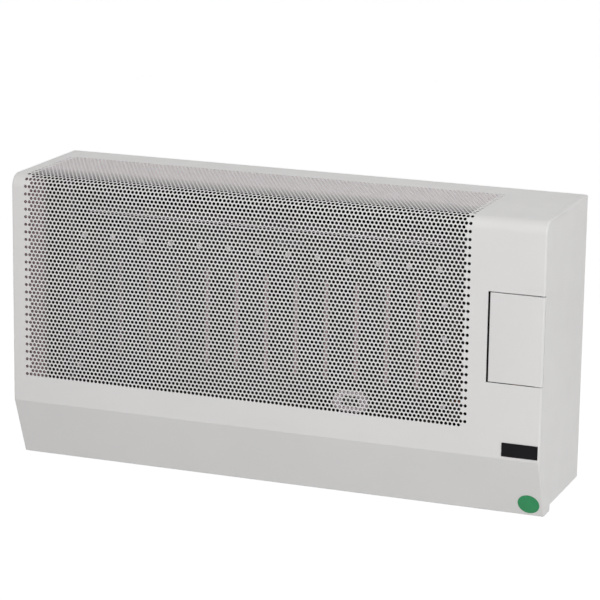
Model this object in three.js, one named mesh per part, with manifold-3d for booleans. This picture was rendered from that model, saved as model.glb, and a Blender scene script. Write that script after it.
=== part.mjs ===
// Wall mounted gas heater: a room-sealed convector in a perforated sheet-metal casing.
// Millimetres. Origin on the wall plane at the casing's centre: +X to the right, +Y into the wall, +Z up.
import * as THREE from "three";
import { mergeVertices } from "three/addons/utils/BufferGeometryUtils.js";
import Module from "manifold-3d";

const wasm = await Module();
wasm.setup();

// ---- Casing ----
const WIDTH = 875;
const HEIGHT = 464;
const DEPTH = 225;
const SHEET = 1; // painted steel sheet
const WALL_GAP = 1; // the casing's back edges stay this far off the wall
const TOP_RADIUS = 20; // the front sheet rolls over into the top
const SLANT_HEIGHT = 96; // the lower front slants back below this height
const SLANT_SETBACK = 38;
const LIP_DEPTH = 28; // bottom return of the front sheet
const SIDE_LIFT = 12; // behind the bottom lip the side panels end this far above it
const TAB_WIDTH = 10; // top tab of a side panel, let into the top sheet
const TAB_LENGTH = 120;
const FIT = 0.3; // gap between pieces that touch

// ---- Perforation ----
// The real sheet has round holes of 4.2 mm at a pitch of 6.69 mm in staggered rows 6.1 mm apart.
// This model keeps the zone, the stagger and the open share, with each hole standing for a group.
// The front and top are one real sheet. Here its flat perforated fields are pieces of their own.
const HOLE_DIAMETER = 4.2;
const HOLE_PITCH = 6.69;
const ROW_PITCH = 6.1;
const HOLE_GROUP = 8; // real holes and rows along each side of the group that one modelled hole stands for
const ZONE_LEFT = 22; // plain margin at the casing's left
const ZONE_RIGHT = 116; // plain margin at the right, beside the controls
const ZONE_BOTTOM = 139; // lowest hole edge above the casing's bottom
const ZONE_BACK = 54; // plain margin at the back of the top
const FIELD_TO_BEND = 2; // from each flat perforated field to the bend between them

// ---- Control door ----
const DOOR_OPENING_WIDTH = 87.5; // from the opening's left edge to the casing's right side
const OPENING_HEIGHT = 140;
const OPENING_CENTRE_Z = 50.4;
const DOOR_GAP_LEFT = 2.5;
const DOOR_GAP_TOP = 1.2;
const DOOR_GAP_BOTTOM = 1;
const DOOR_RETURN = 8; // folded edges
const CURL_RADIUS = 3.2; // rolled hinge edge at the casing's corner
const CURL_BORE = 1.55;
const HINGE_ROD_RADIUS = 1.2;
const HINGE_ROD_OVERRUN = 8;
const HINGE_TAB_THICKNESS = 1.5;
const HINGE_TAB_RISE = 0.6; // from the opening's edge to the bracket's tab
const HINGE_LEG_HEIGHT = 20;
const CATCH_HEIGHT = 24;
const CATCH_REACH = 14;

// ---- Labels, both bare ----
const PLATE_WIDTH = 56.5;
const PLATE_HEIGHT = 21.5;
const PLATE_THICKNESS = 0.8;
const PLATE_FROM_RIGHT = 31.5; // from the casing's right side to the plate's centre
const PLATE_ABOVE_CREASE = 15;
const STICKER_DIAMETER = 34;
const STICKER_THICKNESS = 0.4;
const STICKER_FROM_RIGHT = 23; // from the casing's right side to the sticker's centre
const STICKER_FROM_EDGE = 22; // along the slanted front from the bottom edge to the centre

// ---- Chassis ----
const BACK_PLATE = 1.5;
const BACK_FLANGE = 25;
const KEYHOLE_FROM_SIDE = 107.5;
const KEYHOLE_FROM_TOP = 112; // the lower pair mirrors the upper one
const KEYHOLE_HEAD_RADIUS = 7;
const KEYHOLE_SLOT_RADIUS = 3.5;
const KEYHOLE_TRAVEL = 14;
const CASING_BRACKET_FROM_SIDE = 137.5;
const CASING_BRACKET_WIDTH = 30;
const CASING_BRACKET_RISE = 40;
const CASING_SCREW_RADIUS = 2;
const CASING_SCREW_HEAD_RADIUS = 4.5;
const CASING_SCREW_HEAD = 2;
const CASING_SCREW_LENGTH = 7;
const SHIELD_Y = 12; // from the wall
const SHIELD_BOTTOM = -150;
const SHIELD_BEND = 150; // where the shield turns forward as the deflector
const SHIELD_REACH = 140;
const SHIELD_RISE = 15;
const SHIELD_FOOT_RADIUS = 6;
const SHIELD_FOOT_INSET = 30;

// ---- Heat exchanger ----
const EXCHANGER_FROM_LEFT = 72.5; // room beside the exchanger, larger at the controls
const EXCHANGER_FROM_RIGHT = 167.5;
const EXCHANGER_Z = -6.5;
const FLANGE_FROM_WALL = 148;
const EXCHANGER_HEIGHT = 287;
const FLANGE_WIDTH = 22;
const SHELL = 1.5; // enamelled steel
const CHAMBER_DEPTH = 86;
const CHAMBER_RADIUS = 18;
const GASKET = 2;
const FIELD_RISE = 16; // the cover's raised field above its flange
const RIB_COUNT = 12;
const RIB_MARGIN = 19.3; // from the cover's edges to the span that the ribs share
const RIB_WIDTH = 18;
const RIB_RISE = 12;
const RIB_BOTTOM = -56; // from the exchanger's centre
const RIB_TOP = 112;
const FLANGE_SCREWS_ALONG = 13;
const FLANGE_SCREWS_UP = 5;
const FLANGE_SCREW_RADIUS = 5;
const FLANGE_SCREW_HEAD = 3.2;
const FLANGE_SCREW_INSET = 9.5;
const BRACKET_LENGTH = 150;
const BRACKET_FOOT = 24;
const BRACKET_HEAD = 14;
const BRACKET_GAP = 6; // from the flange's edge to the bracket's web
const BRACKET_SLOT_DEPTH = 46;
const BRACKET_SLOT_LENGTH = 90;
const BRACKET_SLOT_RADIUS = 20;
const BAFFLE_END_ROOM = 67.5; // from the exchanger's edge to the baffle's end
const BAFFLE_BOTTOM = -10; // from the exchanger's centre
const BAFFLE_TOP = 70;

// ---- Sight glass, from the exchanger's centre ----
const GLASS_FROM_RIGHT = 153.5; // from the exchanger's right edge
const GLASS_Z = -84;
const GLASS_FRAME_LENGTH = 57;
const GLASS_FRAME_HEIGHT = 33;
const GLASS_FRAME_DEPTH = 6;
const GLASS_SIZE = 20;
const GLASS_THICKNESS = 3;
const GLASS_WINDOW = 15;
const GLASS_CORNER = 4;
const GLASS_RIM = 5; // raised rim of the frame
const GLASS_RIM_RISE = 2;
const GLASS_SCREW_X = 15.8;
const GLASS_SCREW_RADIUS = 1.8;
const GLASS_SCREW_HEAD_RADIUS = 4.2;
const GLASS_SCREW_HEAD = 2.6;

// ---- Burner and pilot, from the exchanger's centre ----
const BURNER_RADIUS = 17;
const BURNER_WALL = 1.2;
const BURNER_FROM_LEFT = 57.5; // from the exchanger's left edge to the burner's closed end
const BURNER_FROM_RIGHT = 107.5;
const BURNER_Y = 40;
const BURNER_Z = -80;
const BURNER_SLOTS = 14;
const BURNER_SLOT_WIDTH = 4;
const CRADLE_FROM_LEFT = 60; // from the burner's ends
const CRADLE_FROM_RIGHT = 100;
const INJECTOR_RADIUS = 8;
const INJECTOR_GAP = 12; // from the burner's mouth to the jet
const PILOT_Y = 14;
const PILOT_PLATE_Y = 22;
const PILOT_PLATE_LENGTH = 84;
const PILOT_PLATE_WIDTH = 38;
const PILOT_PLATE_CORNER = 5;
const PILOT_OPENING_LENGTH = 60;
const PILOT_OPENING_WIDTH = 26;
const PILOT_TOP = -66;
const PILOT_SPACING = 15; // electrode, pilot and thermocouple side by side
const PILOT_TUBE_RADIUS = 2;
const PILOT_PORT_LEFT = 22; // ports in the valve's underside, from its axis and its bracket's face
const PILOT_PORT_BACK = 20;
const THERMOCOUPLE_PORT_LEFT = 12;
const THERMOCOUPLE_PORT_BACK = 32;
const LEAD_ROW = 12; // the lowest run of the first lead, behind the flange's face
const LEAD_ROW_PITCH = 9;
const LEAD_LOOP = 24; // how far the ignition lead swings out behind the igniter
const THERMOCOUPLE_RADIUS = 2.6;
const THERMOCOUPLE_LEAD_RADIUS = 1.4;
const ELECTRODE_RADIUS = 3.4;
const IGNITION_LEAD_RADIUS = 2.6;

// ---- Flue ----
const FLUE_Z = 50;
const INTAKE_RADIUS = 62.5;
const EXHAUST_RADIUS = 40;
const TUBE_WALL = 1;
const FLUE_COLLAR = 8; // flange round each spigot
const FLUE_HOLE_ROOM = 2; // round the intake in the back plate
const SHIELD_HOLE_ROOM = 4; // round the intake in the heat shield
const INTAKE_REACH = 40; // past the wall plane
const EXHAUST_REACH = 50;
const AIR_BOX_WIDTH = 160;
const AIR_BOX_TOP = 114;
const AIR_BOX_BOTTOM = -118;
const AIR_BOX_FROM_WALL = 18;
const AIR_INLET_WIDTH = 120;
const AIR_INLET_HEIGHT = 30;
const AIR_INLET_LIFT = 10; // above the air box's bottom

// ---- Controls ----
const CONTROL_FROM_RIGHT = 44.5;
const KNOB_Z = 76;
const IGNITER_Z = 8;
const CONTROL_FACE = 170; // front of the control bracket, from the wall
const CONTROL_PLATE = 1.5;
const CONTROL_WIDTH = 80;
const CONTROL_BOTTOM = -20;
const CONTROL_TOP = 122;
const CONTROL_FOOT = 22;
const VALVE_WIDTH = 66;
const VALVE_HEIGHT = 62;
const VALVE_DEPTH = 66;
const VALVE_CORNER = 6;
const VALVE_CAP_RADIUS = 15; // solenoid cap on the valve's back
const VALVE_CAP_DEPTH = 14;
const VALVE_BASE_RADIUS = 24; // the cap's round seat
const VALVE_BASE_DEPTH = 6;
const NECK_RADIUS = 9;
const NECK_LENGTH = 4.5;
const SPINDLE_RADIUS = 4;
const SPINDLE_FLAT = 2.2; // from the axis to the flat that drives the knob
const SPINDLE_OUT = 14; // past the neck
const SPINDLE_SEAT = 20; // inside the neck
const SPINDLE_CLEARANCE = 0.3;
const KNOB_RADIUS = 22;
const KNOB_DEPTH = 20;
const KNOB_SKIRT_RADIUS = 24;
const KNOB_TRAVEL = 5;
const KNOB_BACK_GAP = 7.5; // from the neck's end to the knob's back
const KNOB_GRIPS = 12;
const KNOB_FLUTE_RADIUS = 3;
const KNOB_FLUTE_DEPTH = 1.2;
const IGNITER_RADIUS = 9;
const IGNITER_LENGTH = 44;
const IGNITER_THREAD_RADIUS = 7.5;
const IGNITER_NUT_RADIUS = 12;
const IGNITER_NUT = 3.2;
const BUTTON_RADIUS = 5.6;
const BUTTON_OUT = 9;
const BUTTON_SEAT = 12;
const BUTTON_TRAVEL = 6;

// ---- Pipes ----
const INLET_FROM_RIGHT = 32.5;
const INLET_FROM_WALL = 124;
const INLET_RADIUS = 7.5;
const INLET_END = -222;
const UNION_RADIUS = 14;
const UNION_LENGTH = 18;
const BURNER_PIPE_RADIUS = 5;
const BULB_RADIUS = 4;
const BULB_LENGTH = 80;
const BULB_FROM_RIGHT = 257.5; // from the casing's right side to the bulb's left end
const BULB_FROM_WALL = 50;
const BULB_Z = -190;
const CAPILLARY_RADIUS = 1;

// ---- Worked out from the sizes above ----
const HALF_WIDTH = WIDTH / 2;
const TOP = HEIGHT / 2;
const BOTTOM = -HEIGHT / 2;
const CREASE = BOTTOM + SLANT_HEIGHT;
const SIDE_BOTTOM = BOTTOM + SIDE_LIFT;
const SHEET_HALF = HALF_WIDTH - SHEET - FIT;
const DOOR_TOP = OPENING_CENTRE_Z + OPENING_HEIGHT / 2;
const DOOR_BOTTOM = OPENING_CENTRE_Z - OPENING_HEIGHT / 2;
const HINGE_X = HALF_WIDTH - CURL_RADIUS;
const HINGE_Y = -DEPTH + CURL_RADIUS;
const NECK_END = -CONTROL_FACE - NECK_LENGTH + CONTROL_PLATE;
const DOOR_LEFT = HALF_WIDTH - DOOR_OPENING_WIDTH;
const PLATE_X = HALF_WIDTH - PLATE_FROM_RIGHT;
const KEYHOLE_X = HALF_WIDTH - KEYHOLE_FROM_SIDE;
const KEYHOLE_Z = TOP - KEYHOLE_FROM_TOP;
const CASING_BRACKET_X = HALF_WIDTH - CASING_BRACKET_FROM_SIDE;
const CONTROL_X = HALF_WIDTH - CONTROL_FROM_RIGHT;
const INLET_X = HALF_WIDTH - INLET_FROM_RIGHT;
const BULB_X = HALF_WIDTH - BULB_FROM_RIGHT;
const EXCHANGER_WIDTH = WIDTH - EXCHANGER_FROM_LEFT - EXCHANGER_FROM_RIGHT;
const EXCHANGER_X = (EXCHANGER_FROM_LEFT - EXCHANGER_FROM_RIGHT) / 2;
const EXCHANGER_HALF = EXCHANGER_WIDTH / 2;
const RIB_PITCH = (EXCHANGER_WIDTH - 2 * RIB_MARGIN) / RIB_COUNT;
const BAFFLE_WIDTH = EXCHANGER_WIDTH - 2 * BAFFLE_END_ROOM;
const GLASS_X = EXCHANGER_HALF - GLASS_FROM_RIGHT;
const BURNER_LEFT = -EXCHANGER_HALF + BURNER_FROM_LEFT;
const BURNER_LENGTH = EXCHANGER_WIDTH - BURNER_FROM_LEFT - BURNER_FROM_RIGHT;
const CRADLE_LEFT = BURNER_LEFT + CRADLE_FROM_LEFT;
const CRADLE_RIGHT = BURNER_LEFT + BURNER_LENGTH - CRADLE_FROM_RIGHT;
const INJECTOR_TIP = BURNER_LEFT + BURNER_LENGTH + INJECTOR_GAP;

// ---- Materials ----
function finish(color, roughness, metalness) {
  return () => new THREE.MeshStandardMaterial({ color, roughness, metalness });
}
const whitePaint = finish(0xe4e4e1, 0.45, 0);
const zincSteel = finish(0xa9adb0, 0.4, 0.9);
const enamel = finish(0x2a2624, 0.35, 0.1);
const heatSteel = finish(0x6d6a68, 0.5, 0.8);
const castAluminium = finish(0xb4b6b8, 0.5, 0.8);
const brass = finish(0xb99a4c, 0.35, 0.9);
const copper = finish(0xb06f4a, 0.35, 0.9);
const blackPlastic = finish(0x1c1c1d, 0.5, 0);
const redPlastic = finish(0xa3201c, 0.45, 0);
const sealFibre = finish(0xc9c2b4, 0.9, 0);
const ceramic = finish(0xe9e4da, 0.35, 0);
const clearGlass = finish(0x8a9496, 0.1, 0);
const blackLabel = finish(0x17171a, 0.35, 0);
const greenLabel = finish(0x17824c, 0.35, 0);

// ---- Shapes ----
const AXIS_TURN = {
  x: new THREE.Matrix4().makeBasis(
    new THREE.Vector3(0, 1, 0), new THREE.Vector3(0, 0, 1), new THREE.Vector3(1, 0, 0)),
  y: new THREE.Matrix4().makeBasis(
    new THREE.Vector3(1, 0, 0), new THREE.Vector3(0, 0, 1), new THREE.Vector3(0, -1, 0)),
  z: new THREE.Matrix4(),
};

// A three.js geometry as a solid that can be joined and cut. A solid comes back as it is.
function solid(shape) {
  if (!shape.isBufferGeometry) return shape;
  const bare = shape.index ? shape.toNonIndexed() : shape.clone();
  bare.deleteAttribute("normal");
  bare.deleteAttribute("uv");
  const merged = mergeVertices(bare, 1e-4);
  return new wasm.Manifold(new wasm.Mesh({
    numProp: 3,
    vertProperties: new Float32Array(merged.attributes.position.array),
    triVerts: new Uint32Array(merged.index.array),
  }));
}

function joined(shapes) {
  return shapes.map(solid).reduce((whole, next) => whole.add(next));
}

function cut(body, tools) {
  return tools.map(solid).reduce((left, tool) => left.subtract(tool), solid(body));
}

// A cut shape as a geometry again, so that it can still be moved.
function cutToGeometry(body, tools) {
  return geometryOf(cut(body, tools));
}

function geometryOf(body) {
  const { vertProperties, triVerts } = solid(body).getMesh();
  const geometry = new THREE.BufferGeometry();
  geometry.setAttribute("position", new THREE.BufferAttribute(new Float32Array(vertProperties), 3));
  geometry.setIndex(new THREE.BufferAttribute(new Uint32Array(triVerts), 1));
  return geometry;
}

// A box between two corners.
function box(x0, x1, y0, y1, z0, z1) {
  const geometry = new THREE.BoxGeometry(x1 - x0, y1 - y0, z1 - z0);
  return geometry.translate((x0 + x1) / 2, (y0 + y1) / 2, (z0 + z1) / 2);
}

// An outline swept straight along an axis. On x the outline is (y, z), on y it is (x, z), on z (x, y).
function swept(outline, axis, from, to, curveSegments = 2) {
  const shape = Array.isArray(outline) ? new THREE.Shape(outline) : outline;
  const geometry = new THREE.ExtrudeGeometry(shape, { depth: to - from, bevelEnabled: false, curveSegments });
  geometry.applyMatrix4(AXIS_TURN[axis]);
  const start = axis === "y" ? to : from;
  return geometry.translate(axis === "x" ? start : 0, axis === "y" ? start : 0, axis === "z" ? start : 0);
}

// A turned piece: its profile lists (radius, distance along the axis).
function turned(profile, axis, sides) {
  const points = profile.map(([radius, along]) => new THREE.Vector2(radius, along));
  const geometry = new THREE.LatheGeometry(points, sides);
  if (axis === "x") geometry.rotateZ(-Math.PI / 2);
  if (axis === "z") geometry.rotateX(Math.PI / 2);
  return geometry;
}

function rod(radius, axis, from, to, sides = 12) {
  return turned([[0, from], [radius, from], [radius, to], [0, to]], axis, sides);
}

function ring(inner, outer, axis, from, to, sides = 12) {
  return turned([[inner, from], [outer, from], [outer, to], [inner, to], [inner, from]], axis, sides);
}

// A shape moved by a distance along each axis.
function at(geometry, x, y, z) {
  return geometry.clone().translate(x, y, z);
}

function roundedRectangle(width, height, radius) {
  const shape = new THREE.Shape();
  const x = width / 2 - radius;
  const y = height / 2 - radius;
  shape.absarc(x, y, radius, 0, Math.PI / 2);
  shape.absarc(-x, y, radius, Math.PI / 2, Math.PI);
  shape.absarc(-x, -y, radius, Math.PI, 1.5 * Math.PI);
  shape.absarc(x, -y, radius, 1.5 * Math.PI, 2 * Math.PI);
  shape.closePath();
  return shape;
}

function vectors(pairs) {
  return pairs.map(([x, y]) => new THREE.Vector2(x, y));
}

// An open line moved to its left by a distance, mitred at its corners.
function offsetLine(points, distance) {
  return points.map((point, i) => {
    const before = i > 0 ? point.clone().sub(points[i - 1]).normalize() : null;
    const after = i < points.length - 1 ? points[i + 1].clone().sub(point).normalize() : null;
    const into = before ?? after;
    const onward = after ?? before;
    const left = new THREE.Vector2(-into.y - onward.y, into.x + onward.x).normalize();
    const reach = distance / (left.x * -into.y + left.y * into.x);
    return point.clone().addScaledVector(left, reach);
  });
}

// Sheet metal along an open line, with its second face on the line's left.
function bentSheet(points, thickness, axis, from, to) {
  const line = vectors(points);
  const outline = [...line, ...offsetLine(line, thickness).reverse()];
  if (THREE.ShapeUtils.area(outline) < 0) outline.reverse();
  return swept(outline, axis, from, to);
}

// A round pipe along a smooth route through the given points.
function pipe(radius, route, sides, steps) {
  const points = route.map(([x, y, z]) => new THREE.Vector3(x, y, z));
  const path = new THREE.CatmullRomCurve3(points, false, "centripetal");
  const section = new THREE.Shape();
  section.absarc(0, 0, radius, 0, 2 * Math.PI);
  return new THREE.ExtrudeGeometry(section, { steps, extrudePath: path, curveSegments: sides / 2 });
}

// ---- Assembly ----
const heater = new THREE.Group();

function group(x, y, z) {
  const made = new THREE.Group();
  made.position.set(x, y, z);
  heater.add(made);
  return made;
}

function add(parent, name, body, material) {
  const geometry = geometryOf(body);
  geometry.computeVertexNormals();
  const mesh = new THREE.Mesh(geometry, material());
  mesh.name = name;
  parent.add(mesh);
  return mesh;
}

// ---- Casing: the sheet's side view is one line from the top's back edge to the end of the bottom lip ----
function casingLine(bendSteps) {
  const line = [[-WALL_GAP, TOP]];
  for (let i = 0; i <= bendSteps; i += 1) {
    const angle = Math.PI / 2 + (i / bendSteps) * (Math.PI / 2);
    line.push([
      -DEPTH + TOP_RADIUS + TOP_RADIUS * Math.cos(angle),
      TOP - TOP_RADIUS + TOP_RADIUS * Math.sin(angle),
    ]);
  }
  line.push([-DEPTH, CREASE]);
  line.push([-DEPTH + SLANT_SETBACK, BOTTOM]);
  return line;
}

const BEND_STEPS = 8;

// The perforated fields of the front and of the top, between the plain margins.
const FIELD_LEFT = -HALF_WIDTH + ZONE_LEFT;
const FIELD_RIGHT = HALF_WIDTH - ZONE_RIGHT;
const FRONT_FIELD = [BOTTOM + ZONE_BOTTOM, TOP - TOP_RADIUS - FIELD_TO_BEND];
const TOP_FIELD = [-DEPTH + TOP_RADIUS + FIELD_TO_BEND, -ZONE_BACK];

// Six-sided punches along +Y in staggered rows over a flat field. Rows run along x, from low to high.
function punches(low, high) {
  const openShare = (Math.PI / 4) * HOLE_DIAMETER ** 2 / (HOLE_PITCH * ROW_PITCH);
  const cell = HOLE_PITCH * ROW_PITCH * HOLE_GROUP ** 2;
  const radius = Math.sqrt((openShare * cell) / (1.5 * Math.sqrt(3)));
  const margin = radius + HOLE_PITCH - HOLE_DIAMETER;
  const columns = Math.round((FIELD_RIGHT - FIELD_LEFT - 2 * margin) / (HOLE_PITCH * HOLE_GROUP) - 0.5);
  const rows = Math.round((high - low - 2 * margin) / (ROW_PITCH * HOLE_GROUP));
  const columnStep = (FIELD_RIGHT - FIELD_LEFT - 2 * margin) / (columns + 0.5);
  const rowStep = (high - low - 2 * margin) / rows;
  const punch = new THREE.CylinderGeometry(radius, radius, 6 * SHEET, 6);
  const made = [];
  for (let row = 0; row <= rows; row += 1) {
    for (let column = 0; column <= columns; column += 1) {
      const x = FIELD_LEFT + margin + (column + (row % 2) / 2) * columnStep;
      made.push(at(punch, x, 0, low + margin + row * rowStep));
    }
  }
  return made;
}

// The perforated part of the front: a flat field that fills the sheet's front window.
function frontGrille() {
  const [low, high] = FRONT_FIELD;
  const field = box(FIELD_LEFT + FIT, FIELD_RIGHT - FIT, -DEPTH, -DEPTH + SHEET, low + FIT, high - FIT);
  return cut(field, punches(low, high).map((punch) => at(punch, 0, -DEPTH, 0)));
}

// The perforated part of the top.
function topGrille() {
  const [front, back] = TOP_FIELD;
  const field = box(FIELD_LEFT + FIT, FIELD_RIGHT - FIT, front + FIT, back - FIT, TOP - SHEET, TOP);
  return cut(field, punches(front, back).map((punch) => {
    punch.rotateX(-Math.PI / 2);
    return at(punch, 0, 0, TOP);
  }));
}

function fieldWindows() {
  return [
    box(FIELD_LEFT, FIELD_RIGHT, -DEPTH - SHEET, -DEPTH + 2 * SHEET, ...FRONT_FIELD),
    box(FIELD_LEFT, FIELD_RIGHT, ...TOP_FIELD, TOP - 2 * SHEET, TOP + SHEET)];
}

function doorOpening() {
  return box(DOOR_LEFT, WIDTH, -DEPTH - SHEET, -DEPTH + 2 * SHEET, DOOR_BOTTOM, DOOR_TOP);
}

function tabNotch(side) {
  const inner = side * (HALF_WIDTH - TAB_WIDTH - FIT);
  const outer = side * WIDTH;
  return box(Math.min(inner, outer), Math.max(inner, outer),
    -WALL_GAP - TAB_LENGTH - FIT, SHEET, TOP - 2 * SHEET, TOP + SHEET);
}

function casingScrewHole(side) {
  const y = -DEPTH + SLANT_SETBACK + LIP_DEPTH / 2;
  const hole = rod(CASING_SCREW_RADIUS + FIT, "z", BOTTOM - SHEET, BOTTOM + 4 * SHEET, 8);
  return at(hole, side * CASING_BRACKET_X, y, 0);
}

function frontTopPanel() {
  const line = [...casingLine(BEND_STEPS), [-DEPTH + SLANT_SETBACK + LIP_DEPTH, BOTTOM]];
  const sheet = bentSheet(line, SHEET, "x", -SHEET_HALF, SHEET_HALF);
  return cut(sheet, [
    ...fieldWindows(), doorOpening(), tabNotch(-1), tabNotch(1), casingScrewHole(-1), casingScrewHole(1)]);
}

// A side panel reaches down to the bottom only where it closes the end of the front sheet's lip.
function sidePanel(side) {
  const line = casingLine(BEND_STEPS);
  const lipEnd = -DEPTH + SLANT_SETBACK + LIP_DEPTH;
  line.push([lipEnd, BOTTOM], [lipEnd, SIDE_BOTTOM], [-WALL_GAP, SIDE_BOTTOM]);
  const outer = side * HALF_WIDTH;
  const inner = side * (HALF_WIDTH - SHEET);
  const tabEdge = side * (HALF_WIDTH - TAB_WIDTH);
  const wall = swept(vectors(line), "x", Math.min(inner, outer), Math.max(inner, outer));
  const tab = box(Math.min(tabEdge, outer), Math.max(tabEdge, outer),
    -WALL_GAP - TAB_LENGTH, -WALL_GAP, TOP - SHEET, TOP);
  return joined([wall, tab]);
}

function curlNotch() {
  return box(HALF_WIDTH - 2 * SHEET, WIDTH, -DEPTH - SHEET, HINGE_Y + CURL_RADIUS + FIT,
    DOOR_BOTTOM, DOOR_TOP);
}

// The door turns about a rod in its rolled edge, at the casing's corner.
function controlDoor() {
  const left = DOOR_LEFT + DOOR_GAP_LEFT;
  const top = DOOR_TOP - DOOR_GAP_TOP;
  const bottom = DOOR_BOTTOM + DOOR_GAP_BOTTOM;
  const returnEnd = HINGE_X - DOOR_RETURN;
  const face = box(left, HINGE_X, -DEPTH, -DEPTH + SHEET, bottom, top);
  const leftReturn = box(left, left + SHEET, -DEPTH, -DEPTH + DOOR_RETURN, bottom, top);
  const topReturn = box(left, returnEnd, -DEPTH, -DEPTH + DOOR_RETURN, top - SHEET, top);
  const bottomReturn = box(left, returnEnd, -DEPTH, -DEPTH + DOOR_RETURN, bottom, bottom + SHEET);
  const curl = at(rod(CURL_RADIUS, "z", bottom, top, 16), HINGE_X, HINGE_Y, 0);
  const bore = at(rod(CURL_BORE, "z", bottom - SHEET, top + SHEET, 16), HINGE_X, HINGE_Y, 0);
  return cut(joined([face, leftReturn, topReturn, bottomReturn, curl]), [bore]);
}

function hingeRod() {
  const top = DOOR_TOP + HINGE_ROD_OVERRUN;
  const bottom = DOOR_BOTTOM - HINGE_ROD_OVERRUN;
  const head = HINGE_ROD_RADIUS + FIT + 0.5;
  return turned([
    [0, bottom], [HINGE_ROD_RADIUS, bottom], [HINGE_ROD_RADIUS, top], [head, top], [head, top + SHEET],
    [0, top + SHEET]], "z", 12);
}

// An angle on the side panel's inner face, with a tab that the rod passes through.
function hingeBracket(up) {
  const edge = up > 0 ? DOOR_TOP : DOOR_BOTTOM;
  const tab = [edge + up * HINGE_TAB_RISE, edge + up * (HINGE_TAB_RISE + HINGE_TAB_THICKNESS)];
  const leg = [tab[0], edge + up * HINGE_LEG_HEIGHT];
  const inner = SHEET_HALF;
  const front = -DEPTH + SHEET + FIT;
  const back = HINGE_Y + 3 * CURL_RADIUS;
  const left = HINGE_X - 2 * CURL_RADIUS;
  const tabPlate = box(left, inner, front, back, Math.min(...tab), Math.max(...tab));
  const legPlate = box(inner - HINGE_TAB_THICKNESS, inner, HINGE_Y + CURL_RADIUS, back,
    Math.min(...leg), Math.max(...leg));
  const hole = at(rod(HINGE_ROD_RADIUS + FIT, "z", edge - 10, edge + 10, 12), HINGE_X, HINGE_Y, 0);
  return cut(joined([tabPlate, legPlate]), [hole]);
}

// A plastic housing that sits on the sheet's inner face and meets the door's folded left edge.
function magnetCatch() {
  const left = DOOR_LEFT - CATCH_REACH;
  const edge = DOOR_LEFT - FIT;
  const front = -DEPTH + SHEET + FIT;
  const face = -DEPTH + DOOR_RETURN + FIT;
  return swept(vectors([
    [left, front], [edge, front], [edge, face], [edge + 7, face], [edge + 7, face + 9], [left + 8, face + 9],
    [left + 8, front + 2.5], [left, front + 2.5]]),
  "z", OPENING_CENTRE_Z - CATCH_HEIGHT / 2, OPENING_CENTRE_Z + CATCH_HEIGHT / 2);
}

function namePlate() {
  const shape = roundedRectangle(PLATE_WIDTH, PLATE_HEIGHT, 1);
  return swept(shape, "y", -PLATE_THICKNESS, 0, 1);
}

function buildCasing() {
  const casing = group(0, 0, 0);
  add(casing, "front_top_panel", frontTopPanel(), whitePaint);
  add(casing, "front_grille", frontGrille(), whitePaint);
  add(casing, "top_grille", topGrille(), whitePaint);
  add(casing, "left_side_panel", sidePanel(-1), whitePaint);
  add(casing, "right_side_panel", cut(sidePanel(1), [curlNotch()]), whitePaint);
  add(casing, "control_door", controlDoor(), whitePaint);
  add(casing, "door_hinge_rod", at(hingeRod(), HINGE_X, HINGE_Y, 0), zincSteel);
  add(casing, "hinge_bracket_upper", hingeBracket(1), zincSteel);
  add(casing, "hinge_bracket_lower", hingeBracket(-1), zincSteel);
  add(casing, "magnet_catch", magnetCatch(), blackPlastic);
  const plate = add(casing, "name_plate", namePlate(), blackLabel);
  plate.position.set(PLATE_X, -DEPTH - FIT, CREASE + PLATE_ABOVE_CREASE);
  const sticker = add(casing, "round_sticker",
    rod(STICKER_DIAMETER / 2, "y", -STICKER_THICKNESS, 0, 24), greenLabel);
  const lean = Math.atan2(SLANT_SETBACK, SLANT_HEIGHT);
  const lift = STICKER_FROM_EDGE;
  sticker.rotation.x = lean;
  sticker.position.set(
    HALF_WIDTH - STICKER_FROM_RIGHT,
    -DEPTH + SLANT_SETBACK - lift * Math.sin(lean) - FIT * Math.cos(lean),
    BOTTOM + lift * Math.cos(lean) - FIT * Math.sin(lean));
}

// ---- Chassis ----
// A keyhole for a wall screw: a round head hole with a narrow slot above it.
function keyhole(x, z) {
  const head = at(rod(KEYHOLE_HEAD_RADIUS, "y", -3 * BACK_PLATE, BACK_PLATE, 12), x, 0, z);
  const slot = box(x - KEYHOLE_SLOT_RADIUS, x + KEYHOLE_SLOT_RADIUS, -3 * BACK_PLATE, BACK_PLATE,
    z, z + KEYHOLE_TRAVEL);
  const end = at(rod(KEYHOLE_SLOT_RADIUS, "y", -3 * BACK_PLATE, BACK_PLATE, 8), x, 0, z + KEYHOLE_TRAVEL);
  return joined([head, slot, end]);
}

// A shallow pan: the casing hangs over its top flange and its side flanges steady the side panels.
function backPlate() {
  const top = TOP - SHEET - FIT;
  const pan = box(-SHEET_HALF, SHEET_HALF, -BACK_FLANGE, 0, SIDE_BOTTOM, top);
  const hollow = box(-SHEET_HALF + BACK_PLATE, SHEET_HALF - BACK_PLATE,
    -BACK_FLANGE - 1, -BACK_PLATE, SIDE_BOTTOM + BACK_PLATE, top - BACK_PLATE);
  const flueHole = at(rod(INTAKE_RADIUS + FLUE_HOLE_ROOM, "y", -3 * BACK_PLATE, BACK_PLATE, 24),
    EXCHANGER_X, 0, FLUE_Z);
  const keyholes = [-1, 1].flatMap((side) => [
    keyhole(side * KEYHOLE_X, -KEYHOLE_Z), keyhole(side * KEYHOLE_X, KEYHOLE_Z)]);
  return cut(pan, [hollow, flueHole, ...keyholes, bracketNotch(-1), bracketNotch(1)]);
}

// Room in the bottom flange for a casing bracket's upright.
function bracketNotch(side) {
  const x = side * CASING_BRACKET_X;
  const half = CASING_BRACKET_WIDTH / 2 + FIT;
  return box(x - half, x + half, -BACK_FLANGE - 1, -BACK_PLATE,
    SIDE_BOTTOM - 1, SIDE_BOTTOM + 2 * BACK_PLATE);
}

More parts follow.
